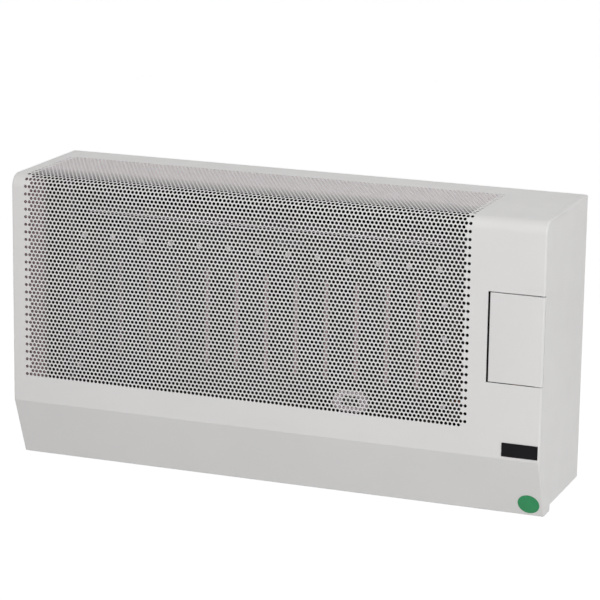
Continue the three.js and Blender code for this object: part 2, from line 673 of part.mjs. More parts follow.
// From the back plate forward over the casing's bottom lip, where the casing screw holds them together.
function casingBracket(side) {
  const front = -DEPTH + SLANT_SETBACK + 3;
  const under = BOTTOM + SHEET + FIT;
  const strip = bentSheet([
    [front, under], [-BACK_PLATE - FIT, under], [-BACK_PLATE - FIT, SIDE_BOTTOM + CASING_BRACKET_RISE]],
  BACK_PLATE, "x", -CASING_BRACKET_WIDTH / 2, CASING_BRACKET_WIDTH / 2);
  return cut(at(strip, side * CASING_BRACKET_X, 0, 0), [casingScrewHole(side)]);
}

function casingScrew(side) {
  const under = BOTTOM - FIT;
  const y = -DEPTH + SLANT_SETBACK + LIP_DEPTH / 2;
  const screw = turned([
    [0, under - CASING_SCREW_HEAD], [CASING_SCREW_HEAD_RADIUS, under - CASING_SCREW_HEAD / 2],
    [CASING_SCREW_HEAD_RADIUS, under], [CASING_SCREW_RADIUS, under],
    [CASING_SCREW_RADIUS, under + CASING_SCREW_LENGTH], [0, under + CASING_SCREW_LENGTH]], "z", 12);
  return at(screw, side * CASING_BRACKET_X, y, 0);
}

// A sheet behind the exchanger, bent forward over it as a deflector, on four round feet.
function heatShield() {
  const half = EXCHANGER_WIDTH / 2 - FLANGE_WIDTH;
  const sheet = bentSheet([
    [-SHIELD_Y, SHIELD_BOTTOM], [-SHIELD_Y, SHIELD_BEND], [-SHIELD_REACH, SHIELD_BEND + SHIELD_RISE]],
  SHEET, "x", -half, half);
  const foot = rod(SHIELD_FOOT_RADIUS, "y", -SHIELD_Y - SHEET / 2, -BACK_PLATE - FIT, 8);
  const rows = [SHIELD_BOTTOM + SHIELD_FOOT_INSET, SHIELD_BEND - SHIELD_FOOT_INSET];
  const feet = rows.flatMap((z) => [-1, 1].map((side) => at(foot, side * (half - SHIELD_FOOT_INSET), 0, z)));
  const opening = rod(INTAKE_RADIUS + SHIELD_HOLE_ROOM, "y", -SHIELD_Y - 3, -SHIELD_Y + 3, 24);
  return cut(joined([sheet, ...feet]), [at(opening, 0, 0, FLUE_Z)]);
}

// A Z-shaped strip from the back plate to the back of the exchanger's flange.
function exchangerBracket(side) {
  const foot = -BACK_PLATE - FIT;
  const web = EXCHANGER_WIDTH / 2 + BRACKET_GAP;
  const head = -FLANGE_FROM_WALL + SHELL + FIT + SHELL;
  const line = [
    [web + BRACKET_FOOT, foot], [web, foot], [web, head], [web - BRACKET_HEAD - BRACKET_GAP, head]];
  const outline = side > 0 ? line : line.map(([x, y]) => [-x, y]);
  const thickness = side > 0 ? SHELL : -SHELL;
  const body = bentSheet(outline, thickness, "z", -BRACKET_LENGTH / 2, BRACKET_LENGTH / 2);
  const slot = swept(roundedRectangle(BRACKET_SLOT_DEPTH, BRACKET_SLOT_LENGTH, BRACKET_SLOT_RADIUS),
    "x", -WIDTH, WIDTH);
  return cut(body, [at(slot, 0, -FLANGE_FROM_WALL / 2, 0)]);
}

function buildChassis() {
  const chassis = group(0, 0, 0);
  add(chassis, "back_plate", backPlate(), zincSteel);
  add(chassis, "casing_bracket_left", casingBracket(-1), zincSteel);
  add(chassis, "casing_bracket_right", casingBracket(1), zincSteel);
  add(chassis, "casing_screw_left", casingScrew(-1), zincSteel);
  add(chassis, "casing_screw_right", casingScrew(1), zincSteel);
  const carrier = group(EXCHANGER_X, 0, 0);
  add(carrier, "heat_shield", heatShield(), zincSteel);
  add(carrier, "exchanger_bracket_left", exchangerBracket(-1), zincSteel);
  add(carrier, "exchanger_bracket_right", exchangerBracket(1), zincSteel);
}

// ---- Heat exchanger, about the centre of its rear flange's front face ----
const CHAMBER_WIDTH = EXCHANGER_WIDTH - 2 * FLANGE_WIDTH;
const CHAMBER_HEIGHT = EXCHANGER_HEIGHT - 2 * FLANGE_WIDTH;
const GASKET_FRONT = -FIT - GASKET;
const COVER_BACK = GASKET_FRONT - FIT;
const COVER_FLANGE_FRONT = COVER_BACK - SHELL;
const FIELD_FRONT = COVER_BACK - FIELD_RISE;
const CHAMBER_FLOOR = -CHAMBER_HEIGHT / 2;

function chamberOutline(inset) {
  return roundedRectangle(CHAMBER_WIDTH - 2 * inset, CHAMBER_HEIGHT - 2 * inset, CHAMBER_RADIUS - inset);
}

function flangeOutline() {
  return roundedRectangle(EXCHANGER_WIDTH, EXCHANGER_HEIGHT, CHAMBER_RADIUS / 2);
}

function exchangerRearShell() {
  const flange = swept(flangeOutline(), "y", 0, SHELL, 1);
  const pan = swept(chamberOutline(0), "y", SHELL / 2, CHAMBER_DEPTH);
  const hollow = swept(chamberOutline(SHELL), "y", -1, CHAMBER_DEPTH - SHELL);
  const flueHole = at(rod(EXHAUST_RADIUS + FIT, "y", CHAMBER_DEPTH - 5, CHAMBER_DEPTH + 5, 20),
    0, 0, FLUE_Z - EXCHANGER_Z);
  const inletZ = AIR_BOX_BOTTOM - EXCHANGER_Z + AIR_INLET_LIFT;
  const airInlet = box(-AIR_INLET_WIDTH / 2, AIR_INLET_WIDTH / 2,
    CHAMBER_DEPTH - 5, CHAMBER_DEPTH + 5, inletZ, inletZ + AIR_INLET_HEIGHT);
  const injectorHole = at(rod(INJECTOR_RADIUS + FIT, "x", CHAMBER_WIDTH / 2 - 5, CHAMBER_WIDTH / 2 + 5, 12),
    0, BURNER_Y, BURNER_Z);
  const pilotOpening = box(
    GLASS_X - PILOT_OPENING_LENGTH / 2, GLASS_X + PILOT_OPENING_LENGTH / 2,
    PILOT_PLATE_Y - PILOT_OPENING_WIDTH / 2, PILOT_PLATE_Y + PILOT_OPENING_WIDTH / 2,
    CHAMBER_FLOOR - 5, CHAMBER_FLOOR + 5);
  return cut(joined([flange, pan]), [hollow, flueHole, airInlet, injectorHole, pilotOpening]);
}

function exchangerGasket() {
  const sheet = swept(flangeOutline(), "y", GASKET_FRONT, -FIT, 1);
  return cut(sheet, [swept(chamberOutline(SHELL), "y", GASKET_FRONT - 1, 1)]);
}

// One pressed rib: a half-round bar with rounded ends, standing out of the cover's field.
function rib(x, grow) {
  const half = RIB_WIDTH / 2 + grow;
  const rise = RIB_RISE + grow;
  const outline = vectors([
    [-half, 0.5], [-half * 0.76, -rise * 0.7], [0, -rise], [half * 0.76, -rise * 0.7], [half, 0.5]]);
  return at(swept(outline, "z", RIB_BOTTOM - grow, RIB_TOP + grow), x, FIELD_FRONT, 0);
}

function ribPlaces() {
  return Array.from({ length: RIB_COUNT }, (_, i) => (i - (RIB_COUNT - 1) / 2) * RIB_PITCH);
}

function flangeScrewPlaces() {
  const x = EXCHANGER_WIDTH / 2 - FLANGE_SCREW_INSET;
  const z = EXCHANGER_HEIGHT / 2 - FLANGE_SCREW_INSET;
  const places = [];
  for (let i = 0; i < FLANGE_SCREWS_ALONG; i += 1) {
    const along = (i - (FLANGE_SCREWS_ALONG - 1) / 2) * RIB_PITCH;
    places.push([along, z], [along, -z]);
  }
  for (let i = 1; i < FLANGE_SCREWS_UP; i += 1) {
    const up = -z + (2 * z * i) / FLANGE_SCREWS_UP;
    places.push([x, up], [-x, up]);
  }
  return places;
}

// The pressed cover: a flange with its ring of hexagon heads, a raised field, ribs and the sight opening.
function exchangerFrontCover() {
  const flange = swept(flangeOutline(), "y", COVER_FLANGE_FRONT, COVER_BACK, 1);
  const field = swept(chamberOutline(0), "y", FIELD_FRONT, COVER_BACK - SHELL / 2);
  const hollow = swept(chamberOutline(SHELL), "y", FIELD_FRONT + SHELL, COVER_BACK + 1);
  const head = rod(FLANGE_SCREW_RADIUS, "y",
    COVER_FLANGE_FRONT - FLANGE_SCREW_HEAD, COVER_FLANGE_FRONT + 0.5, 6);
  const heads = flangeScrewPlaces().map(([x, z]) => at(head, x, 0, z));
  const ribs = ribPlaces().map((x) => rib(x, 0));
  const insides = ribPlaces().map((x) => at(rib(x, -SHELL), 0, SHELL, 0));
  const sight = swept(roundedRectangle(GLASS_WINDOW, GLASS_WINDOW, GLASS_CORNER), "y",
    FIELD_FRONT - 1, FIELD_FRONT + 5);
  const screwHole = rod(GLASS_SCREW_RADIUS + FIT, "y", FIELD_FRONT - 1, FIELD_FRONT + 5, 6);
  return cut(joined([flange, field, ...heads, ...ribs]), [
    hollow, ...insides, at(sight, GLASS_X, 0, GLASS_Z),
    at(screwHole, GLASS_X - GLASS_SCREW_X, 0, GLASS_Z), at(screwHole, GLASS_X + GLASS_SCREW_X, 0, GLASS_Z)]);
}

// A sheet across the upper chamber that sends the flue gas the long way round, with ends bent to the back.
function exchangerBaffle() {
  const front = CHAMBER_DEPTH / 2;
  const back = CHAMBER_DEPTH - SHELL - FIT;
  const half = BAFFLE_WIDTH / 2;
  return bentSheet([[-half, back], [-half, front], [half, front], [half, back]], SHELL, "z",
    BAFFLE_BOTTOM, BAFFLE_TOP);
}

function stadium(length, height) {
  return roundedRectangle(length, height, height / 2 - 0.01);
}

function buildSightGlass(parent) {
  const gasketFront = FIELD_FRONT - FIT - GASKET / 2;
  const seat = gasketFront - FIT;
  const front = seat - GLASS_FRAME_DEPTH;
  const recess = seat - GLASS_THICKNESS - FIT;
  const screwHole = rod(GLASS_SCREW_RADIUS + FIT, "y", front - 1, FIELD_FRONT + 1, 6);
  const screwHoles = [at(screwHole, -GLASS_SCREW_X, 0, 0), at(screwHole, GLASS_SCREW_X, 0, 0)];
  const window = swept(roundedRectangle(GLASS_WINDOW, GLASS_WINDOW, GLASS_CORNER), "y",
    front - 1, FIELD_FRONT + 1);
  const outline = stadium(GLASS_FRAME_LENGTH, GLASS_FRAME_HEIGHT);
  const ringField = swept(
    stadium(GLASS_FRAME_LENGTH - 2 * GLASS_RIM, GLASS_FRAME_HEIGHT - 2 * GLASS_RIM), "y",
    front - 1, front + GLASS_RIM_RISE);
  const frame = cut(swept(outline, "y", front, seat), [
    swept(roundedRectangle(GLASS_SIZE + FIT, GLASS_SIZE + FIT, GLASS_CORNER), "y", recess, seat + 1),
    window, ringField, ...screwHoles]);
  const gasket = cut(swept(outline, "y", gasketFront, FIELD_FRONT - FIT), [window, ...screwHoles]);
  const glass = swept(roundedRectangle(GLASS_SIZE - FIT, GLASS_SIZE - FIT, GLASS_CORNER), "y",
    seat - GLASS_THICKNESS, seat);
  const headSeat = front + GLASS_RIM_RISE - FIT;
  const screw = turned([
    [0, headSeat - GLASS_SCREW_HEAD], [GLASS_SCREW_HEAD_RADIUS * 0.7, headSeat - GLASS_SCREW_HEAD],
    [GLASS_SCREW_HEAD_RADIUS, headSeat - GLASS_SCREW_HEAD * 0.4], [GLASS_SCREW_HEAD_RADIUS, headSeat],
    [GLASS_SCREW_RADIUS, headSeat], [GLASS_SCREW_RADIUS, FIELD_FRONT + 4], [0, FIELD_FRONT + 4]], "y", 8);
  const pieces = [
    add(parent, "sight_glass_frame", frame, heatSteel),
    add(parent, "sight_glass_gasket", gasket, sealFibre),
    add(parent, "sight_glass", glass, clearGlass),
    add(parent, "sight_screw_left", at(screw, -GLASS_SCREW_X, 0, 0), zincSteel),
    add(parent, "sight_screw_right", at(screw, GLASS_SCREW_X, 0, 0), zincSteel),
  ];
  for (const piece of pieces) piece.position.set(GLASS_X, 0, GLASS_Z);
}

// ---- Burner and pilot ----
function burnerTube() {
  const r = BURNER_RADIUS;
  const w = BURNER_WALL;
  const end = BURNER_LEFT + BURNER_LENGTH;
  const tube = turned([
    [0, BURNER_LEFT], [r, BURNER_LEFT], [r, end - 30], [r - 4, end - 20], [r - 1, end - 6], [r + 4, end],
    [r + 4 - w, end], [r - 1 - w, end - 6], [r - 4 - w, end - 20], [r - w, end - 30],
    [r - w, BURNER_LEFT + w], [0, BURNER_LEFT + w]], "x", 12);
  const step = (BURNER_LENGTH - 90) / BURNER_SLOTS;
  const slots = Array.from({ length: BURNER_SLOTS }, (_, i) => {
    const x = BURNER_LEFT + 30 + i * step;
    return box(x, x + BURNER_SLOT_WIDTH, -r * 0.45, r * 0.45, r * 0.5, r + 1);
  });
  return at(cutToGeometry(tube, slots), 0, BURNER_Y, BURNER_Z);
}

// A plate that stands on the chamber's floor, cut out round the burner.
function burnerCradle(x) {
  const floor = CHAMBER_FLOOR + SHELL + FIT;
  const body = bentSheet([[x - 14, floor], [x, floor], [x, BURNER_Z]], SHELL, "y",
    BURNER_Y - BURNER_RADIUS - 4, BURNER_Y + BURNER_RADIUS + 4);
  const seat = at(rod(BURNER_RADIUS + FIT, "x", x - 30, x + 30, 12), 0, BURNER_Y, BURNER_Z);
  return cut(body, [seat]);
}

// A brass fitting screwed through the chamber's wall, its jet aimed into the burner.
function injector() {
  const wall = CHAMBER_WIDTH / 2;
  const r = INJECTOR_RADIUS;
  const body = turned([
    [0, INJECTOR_TIP], [2.5, INJECTOR_TIP], [4.5, INJECTOR_TIP + 8], [r, INJECTOR_TIP + 12], [r, wall + FIT],
    [r + 4, wall + FIT], [r + 4, wall + 8], [r, wall + 8], [r, wall + 18], [0, wall + 18]], "x", 8);
  return at(body, 0, BURNER_Y, BURNER_Z);
}

const PILOT_GASKET_TOP = CHAMBER_FLOOR - FIT;
const PILOT_PLATE_TOP = PILOT_GASKET_TOP - GASKET - FIT;
const PILOT_PLATE_BOTTOM = PILOT_PLATE_TOP - SHELL;

// Where the electrode, the pilot and the thermocouple stand, from left to right.
function pilotPlaces() {
  return [-1, 0, 1].map((i) => GLASS_X + i * PILOT_SPACING);
}

function pilotPlate() {
  const plate = at(swept(roundedRectangle(PILOT_PLATE_LENGTH, PILOT_PLATE_WIDTH, PILOT_PLATE_CORNER), "z",
    PILOT_PLATE_BOTTOM, PILOT_PLATE_TOP, 1), GLASS_X, PILOT_PLATE_Y, 0);
  const [electrodeX, pilotX, thermocoupleX] = pilotPlaces();
  const hole = (x, radius) => at(
    rod(radius + FIT, "z", PILOT_PLATE_BOTTOM - 1, PILOT_PLATE_TOP + 1, 8), x, PILOT_Y, 0);
  return cut(plate, [
    hole(electrodeX, ELECTRODE_RADIUS), hole(pilotX, PILOT_TUBE_RADIUS),
    hole(thermocoupleX, THERMOCOUPLE_RADIUS)]);
}

function pilotGasket() {
  const sheet = at(swept(roundedRectangle(PILOT_PLATE_LENGTH, PILOT_PLATE_WIDTH, PILOT_PLATE_CORNER), "z",
    PILOT_PLATE_TOP + FIT, PILOT_GASKET_TOP, 1), GLASS_X, PILOT_PLATE_Y, 0);
  const opening = box(
    GLASS_X - PILOT_OPENING_LENGTH / 2, GLASS_X + PILOT_OPENING_LENGTH / 2,
    PILOT_PLATE_Y - PILOT_OPENING_WIDTH / 2, PILOT_PLATE_Y + PILOT_OPENING_WIDTH / 2,
    PILOT_PLATE_TOP - 1, PILOT_GASKET_TOP + 1);
  return cut(sheet, [opening]);
}

// The pilot stands on the plate, with a hood that spreads its flame to the burner.
function pilotBurner() {
  const [, x] = pilotPlaces();
  const base = PILOT_PLATE_TOP + FIT;
  const stem = turned([
    [0, base], [5, base], [5, base + 6], [3.4, base + 8], [3.4, PILOT_TOP - 12], [4.6, PILOT_TOP - 10],
    [4.6, PILOT_TOP - 2], [3, PILOT_TOP], [0, PILOT_TOP]], "z", 10);
  return at(stem, x, PILOT_Y, 0);
}

// Routes of the leads run below the exchanger to the valve, in the exchanger's own frame.
const LEAD_Z = PILOT_PLATE_BOTTOM - 18;
const VALVE_PORT_Z = KNOB_Z - VALVE_HEIGHT / 2 - EXCHANGER_Z;
const VALVE_FACE_Y = FLANGE_FROM_WALL - CONTROL_FACE;

function leadRoute(x, start, end, rowY) {
  const drop = start - LEAD_Z;
  return [
    [x, PILOT_Y, start], [x, PILOT_Y, start - drop * 0.5], [x + drop * 0.6, (PILOT_Y + rowY) / 2, LEAD_Z],
    [x + 40, rowY, LEAD_Z], [end[0] - 40, rowY, LEAD_Z], [end[0] - 10, (rowY + end[1]) / 2, LEAD_Z + 6],
    [end[0], end[1], LEAD_Z + 30], [end[0], end[1], end[2] - 12], end];
}

function pilotTube() {
  const [, x] = pilotPlaces();
  const end = [CONTROL_X - PILOT_PORT_LEFT - EXCHANGER_X, VALVE_FACE_Y + PILOT_PORT_BACK, VALVE_PORT_Z - FIT];
  return pipe(PILOT_TUBE_RADIUS, leadRoute(x, PILOT_PLATE_TOP, end, LEAD_ROW), 6, 34);
}

function thermocouple() {
  const [, , x] = pilotPlaces();
  const end = [
    CONTROL_X - THERMOCOUPLE_PORT_LEFT - EXCHANGER_X, VALVE_FACE_Y + THERMOCOUPLE_PORT_BACK,
    VALVE_PORT_Z - FIT];
  const route = leadRoute(x, PILOT_PLATE_BOTTOM, end, LEAD_ROW + LEAD_ROW_PITCH);
  const lead = pipe(THERMOCOUPLE_LEAD_RADIUS, route, 6, 28);
  const probe = at(turned([
    [0, PILOT_PLATE_BOTTOM - 6], [THERMOCOUPLE_RADIUS, PILOT_PLATE_BOTTOM - 6],
    [THERMOCOUPLE_RADIUS, PILOT_TOP - 3], [1.2, PILOT_TOP], [0, PILOT_TOP]], "z", 8), x, PILOT_Y, 0);
  return joined([lead, probe]);
}

// A ceramic sleeve with a bare rod bent towards the pilot's hood.
function ignitionElectrode() {
  const [x] = pilotPlaces();
  const sleeveTop = PILOT_TOP - 16;
  const sleeve = at(rod(ELECTRODE_RADIUS, "z", PILOT_PLATE_BOTTOM - 8, sleeveTop, 10), x, PILOT_Y, 0);
  const wire = pipe(0.9, [
    [x, PILOT_Y, sleeveTop - 1], [x, PILOT_Y, PILOT_TOP - 4], [x + 3, PILOT_Y, PILOT_TOP - 1],
    [x + PILOT_SPACING - 6, PILOT_Y, PILOT_TOP - 3]], 5, 10);
  return joined([sleeve, wire]);
}

function ignitionLead() {
  const [x] = pilotPlaces();
  const start = PILOT_PLATE_BOTTOM - 8 - FIT;
  const end = [
    CONTROL_X - EXCHANGER_X, VALVE_FACE_Y + IGNITER_LENGTH + 6, IGNITER_Z - EXCHANGER_Z];
  const route = leadRoute(x, start, end, LEAD_ROW + 2 * LEAD_ROW_PITCH).slice(0, 5);
  const loop = end[1] + LEAD_LOOP;
  return pipe(IGNITION_LEAD_RADIUS, [
    ...route, [end[0] - 14, loop - 6, LEAD_Z + 10], [end[0] - 2, loop, end[2] - 60],
    [end[0], loop, end[2] - 18],
    [end[0], end[1] + 14, end[2] - 2], [end[0], end[1] + 6, end[2]], end], 6, 30);
}

function buildExchanger() {
  const exchanger = group(EXCHANGER_X, -FLANGE_FROM_WALL, EXCHANGER_Z);
  add(exchanger, "exchanger_rear_shell", exchangerRearShell(), enamel);
  add(exchanger, "exchanger_gasket", exchangerGasket(), sealFibre);
  add(exchanger, "exchanger_front_cover", exchangerFrontCover(), enamel);
  add(exchanger, "exchanger_baffle", exchangerBaffle(), heatSteel);
  buildSightGlass(exchanger);
  add(exchanger, "burner_tube", burnerTube(), heatSteel);
  add(exchanger, "burner_cradle_left", burnerCradle(CRADLE_LEFT), heatSteel);
  add(exchanger, "burner_cradle_right", burnerCradle(CRADLE_RIGHT), heatSteel);
  add(exchanger, "injector", injector(), brass);
  add(exchanger, "pilot_plate", pilotPlate(), heatSteel);
  add(exchanger, "pilot_gasket", pilotGasket(), sealFibre);
  add(exchanger, "pilot_burner", pilotBurner(), brass);
  add(exchanger, "pilot_tube", pilotTube(), copper);
  add(exchanger, "thermocouple", thermocouple(), copper);
  add(exchanger, "ignition_electrode", ignitionElectrode(), ceramic);
  add(exchanger, "ignition_lead", ignitionLead(), redPlastic);
}

// ---- Controls, about the middle of the control bracket's front face ----
// A Z-shaped plate: its front carries the valve and the igniter, its foot sits on the back plate.
function controlBracket() {
  const left = -CONTROL_WIDTH / 2;
  const foot = CONTROL_FACE - BACK_PLATE - FIT - CONTROL_PLATE;
  const body = bentSheet([[CONTROL_WIDTH / 2, 0], [left, 0], [left, foot], [left - CONTROL_FOOT, foot]],
    -CONTROL_PLATE, "z", CONTROL_BOTTOM, CONTROL_TOP);
  const neckHole = at(rod(NECK_RADIUS + FIT, "y", -5, 5, 16), 0, 0, KNOB_Z);
  const igniterHole = at(rod(IGNITER_THREAD_RADIUS + FIT, "y", -5, 5, 16), 0, 0, IGNITER_Z);
  return cut(body, [neckHole, igniterHole]);
}

// Cast body with a neck through the bracket and a solenoid cap on its back.
function gasValveBody() {
  const front = CONTROL_PLATE + FIT;
  const back = front + VALVE_DEPTH;
  const block = swept(roundedRectangle(VALVE_WIDTH, VALVE_HEIGHT, VALVE_CORNER), "y", front, back);
  const neck = rod(NECK_RADIUS, "y", -NECK_LENGTH + CONTROL_PLATE, front + 1, 12);
  const cap = at(rod(VALVE_CAP_RADIUS, "y", back - 1, back + VALVE_CAP_DEPTH, 12), -12, 0, 8);
  const base = at(rod(VALVE_BASE_RADIUS, "y", back - 1, back + VALVE_BASE_DEPTH, 12), 4, 0, -4);
  const bore = rod(SPINDLE_RADIUS + SPINDLE_CLEARANCE, "y",
    -2 * NECK_LENGTH, -NECK_LENGTH + CONTROL_PLATE + SPINDLE_SEAT + FIT, 12);
  return cut(joined([block, neck, cap, base]), [bore]);
}

function valveSpindle() {
  const seat = -NECK_LENGTH + CONTROL_PLATE + SPINDLE_SEAT;
  const tip = -NECK_LENGTH + CONTROL_PLATE - SPINDLE_OUT;
  const round = rod(SPINDLE_RADIUS, "y", tip, seat, 12);
  const flat = box(-SPINDLE_RADIUS, SPINDLE_RADIUS, tip - 1, tip + SPINDLE_OUT - 2,
    SPINDLE_FLAT, SPINDLE_RADIUS + 1);
  return cut(round, [flat]);
}

// A fluted knob with a skirt and a pointer groove. Its bore leaves room past the spindle's tip for the push.
function controlKnob() {
  const back = -NECK_LENGTH + CONTROL_PLATE - KNOB_BACK_GAP;
  const front = back - KNOB_DEPTH;
  const tip = -NECK_LENGTH + CONTROL_PLATE - SPINDLE_OUT;
  const body = turned([
    [0, front], [KNOB_RADIUS - 2, front], [KNOB_RADIUS, front + 1.5], [KNOB_RADIUS + 0.5, back - 4],
    [KNOB_SKIRT_RADIUS, back - 3.5], [KNOB_SKIRT_RADIUS, back], [0, back]], "y", 24);
  const flute = rod(KNOB_FLUTE_RADIUS, "y", front - 1, back - 5, 6);
  const flutes = Array.from({ length: KNOB_GRIPS }, (_, i) => {
    const angle = ((i + 0.5) / KNOB_GRIPS) * 2 * Math.PI;
    const reach = KNOB_RADIUS + KNOB_FLUTE_RADIUS - KNOB_FLUTE_DEPTH;
    return at(flute, reach * Math.cos(angle), 0, reach * Math.sin(angle));
  });
  const pointer = box(-1, 1, front - 1, front + 0.8, KNOB_RADIUS - 12, KNOB_RADIUS - 3);
  const bore = cut(
    rod(SPINDLE_RADIUS + SPINDLE_CLEARANCE, "y", tip - KNOB_TRAVEL - 1, back + 1, 12),
    [box(-KNOB_RADIUS, KNOB_RADIUS, tip - KNOB_TRAVEL - 2, back + 2,
      SPINDLE_FLAT + SPINDLE_CLEARANCE, KNOB_RADIUS)]);
  return cut(body, [...flutes, pointer, bore]);
}

function igniterBody() {
  const front = -NECK_LENGTH - 1;
  const bore = BUTTON_RADIUS + SPINDLE_CLEARANCE;
  const depth = front + BUTTON_SEAT + BUTTON_TRAVEL + 1;
  const behind = CONTROL_PLATE + FIT;
  const body = turned([
    [0, front], [IGNITER_THREAD_RADIUS, front], [IGNITER_THREAD_RADIUS, behind],
    [IGNITER_RADIUS + 1.5, behind], [IGNITER_RADIUS + 1.5, behind + 4], [IGNITER_RADIUS, behind + 4],
    [IGNITER_RADIUS, IGNITER_LENGTH - 6],
    [4, IGNITER_LENGTH], [4, IGNITER_LENGTH + 5], [0, IGNITER_LENGTH + 5]], "y", 12);
  return cut(body, [rod(bore, "y", front - 1, depth, 12)]);
}

function igniterNut() {
  const nut = rod(IGNITER_NUT_RADIUS, "y", -FIT - IGNITER_NUT, -FIT, 6);
  return cut(nut, [rod(IGNITER_THREAD_RADIUS + FIT, "y", -10, 5, 16)]);
}

function igniterButton() {
  const front = -NECK_LENGTH - 1;
  return turned([
    [0, front - BUTTON_OUT], [BUTTON_RADIUS - 1.2, front - BUTTON_OUT],
    [BUTTON_RADIUS, front - BUTTON_OUT + 1.2],
    [BUTTON_RADIUS, front + BUTTON_SEAT], [0, front + BUTTON_SEAT]], "y", 12);
}

function buildControls() {
  const controls = group(CONTROL_X, -CONTROL_FACE, 0);
  add(controls, "control_bracket", controlBracket(), zincSteel);
  add(controls, "gas_valve_body", gasValveBody(), castAluminium).position.z = KNOB_Z;
  add(controls, "valve_spindle", valveSpindle(), zincSteel).position.z = KNOB_Z;
  add(controls, "control_knob", controlKnob(), blackPlastic).position.z = KNOB_Z;
  add(controls, "igniter_body", igniterBody(), blackPlastic).position.z = IGNITER_Z;
  add(controls, "igniter_nut", igniterNut(), zincSteel).position.z = IGNITER_Z;
  add(controls, "igniter_button", igniterButton(), redPlastic).position.z = IGNITER_Z;
}

// ---- Pipes ----
const VALVE_BOTTOM = KNOB_Z - VALVE_HEIGHT / 2;

function gasInletPipe() {
  const pipeRun = rod(INLET_RADIUS, "z", INLET_END + UNION_LENGTH / 2, VALVE_BOTTOM - FIT, 12);
  return at(pipeRun, INLET_X, -INLET_FROM_WALL, 0);
}

function unionNut() {
  const nut = rod(UNION_RADIUS, "z", INLET_END, INLET_END + UNION_LENGTH, 6);
  const bore = rod(INLET_RADIUS + FIT, "z", INLET_END - 1, INLET_END + UNION_LENGTH + 1, 12);
  return at(cutToGeometry(nut, [bore]), INLET_X, -INLET_FROM_WALL, 0);
}

// From the valve's underside down, round to the left and into the injector.
function burnerPipe() {
  const end = EXCHANGER_X + CHAMBER_WIDTH / 2 + 18 + FIT;
  const y = -FLANGE_FROM_WALL + BURNER_Y;
  const z = EXCHANGER_Z + BURNER_Z;
  const top = [CONTROL_X - 20, -INLET_FROM_WALL - 8, VALVE_BOTTOM - FIT];
  return pipe(BURNER_PIPE_RADIUS, [
    top, [top[0], top[1], top[2] - 40], [top[0], top[1], z + 34], [top[0] - 8, top[1] + 4, z + 10],
    [top[0] - 30, y - 4, z], [end + 40, y, z], [end, y, z]], 8, 20);
}

function thermostatBulb() {
  const bulb = turned([
    [0, BULB_X], [BULB_RADIUS, BULB_X + 3], [BULB_RADIUS, BULB_X + BULB_LENGTH - 3],
    [CAPILLARY_RADIUS + 0.4, BULB_X + BULB_LENGTH], [0, BULB_X + BULB_LENGTH]], "x", 10);
  return at(bulb, 0, -BULB_FROM_WALL, BULB_Z);
}

// A thin tube from the bulb back to the thermostat in the valve.
function thermostatCapillary() {
  const start = BULB_X + BULB_LENGTH + FIT;
  const end = [CONTROL_X + 28, -INLET_FROM_WALL - 20, VALVE_BOTTOM - FIT];
  return pipe(CAPILLARY_RADIUS, [
    [start, -BULB_FROM_WALL, BULB_Z], [start + 30, -BULB_FROM_WALL, BULB_Z],
    [end[0] - 40, -BULB_FROM_WALL - 6, BULB_Z + 4], [end[0], -BULB_FROM_WALL - 35, BULB_Z + 40],
    [end[0] + 1, -INLET_FROM_WALL, BULB_Z + 90], [end[0], end[1], BULB_Z + 150],
    [end[0], end[1], end[2] - 30], end], 6, 28);
}

// An eye on a stalk from the back plate that the bulb is pushed through.
function bulbClip() {
  const eye = at(ring(BULB_RADIUS + FIT, BULB_RADIUS + 2, "x", -6, 6, 12), 0, -BULB_FROM_WALL, BULB_Z);
  const stalk = bentSheet([
    [-BACK_PLATE - FIT, BULB_Z + 20], [-BACK_PLATE - FIT, BULB_Z],
    [-BULB_FROM_WALL + BULB_RADIUS + 1, BULB_Z]],
  -SHELL, "x", -6, 6);
  return at(geometryOf(joined([eye, stalk])), BULB_X + BULB_LENGTH / 2, 0, 0);
}

// ---- Flue ----
// A pan on the chamber's back that leads the outside air from the intake down to the burner.
function airBox() {
  const front = -(FLANGE_FROM_WALL - CHAMBER_DEPTH) + FIT;
  const half = AIR_BOX_WIDTH / 2;
  const pan = box(-half, half, front, -AIR_BOX_FROM_WALL, AIR_BOX_BOTTOM, AIR_BOX_TOP);
  const hollow = box(-half + SHEET, half - SHEET, front - 1, -AIR_BOX_FROM_WALL - SHEET,
    AIR_BOX_BOTTOM + SHEET, AIR_BOX_TOP - SHEET);
  const hole = at(rod(INTAKE_RADIUS - TUBE_WALL, "y", -AIR_BOX_FROM_WALL - 4, 0, 24), 0, 0, FLUE_Z);
  return cut(pan, [hollow, hole]);
}

function intakeSpigot() {
  const start = -AIR_BOX_FROM_WALL + FIT;
  const inner = INTAKE_RADIUS - TUBE_WALL;
  return turned([
    [inner, start], [INTAKE_RADIUS + FLUE_COLLAR, start], [INTAKE_RADIUS + FLUE_COLLAR, start + SHELL],
    [INTAKE_RADIUS, start + SHELL],
    [INTAKE_RADIUS, INTAKE_REACH], [inner, INTAKE_REACH], [inner, start]], "y", 24);
}

function exhaustSpigot() {
  const wall = -(FLANGE_FROM_WALL - CHAMBER_DEPTH);
  const inner = EXHAUST_RADIUS - TUBE_WALL;
  return turned([
    [inner, wall - SHELL], [EXHAUST_RADIUS, wall - SHELL], [EXHAUST_RADIUS, wall + FIT],
    [EXHAUST_RADIUS + FLUE_COLLAR, wall + FIT], [EXHAUST_RADIUS + FLUE_COLLAR, wall + FIT + SHELL],
    [EXHAUST_RADIUS, wall + FIT + SHELL], [EXHAUST_RADIUS, EXHAUST_REACH],
    [inner, EXHAUST_REACH], [inner, wall - SHELL]], "y", 20);
}

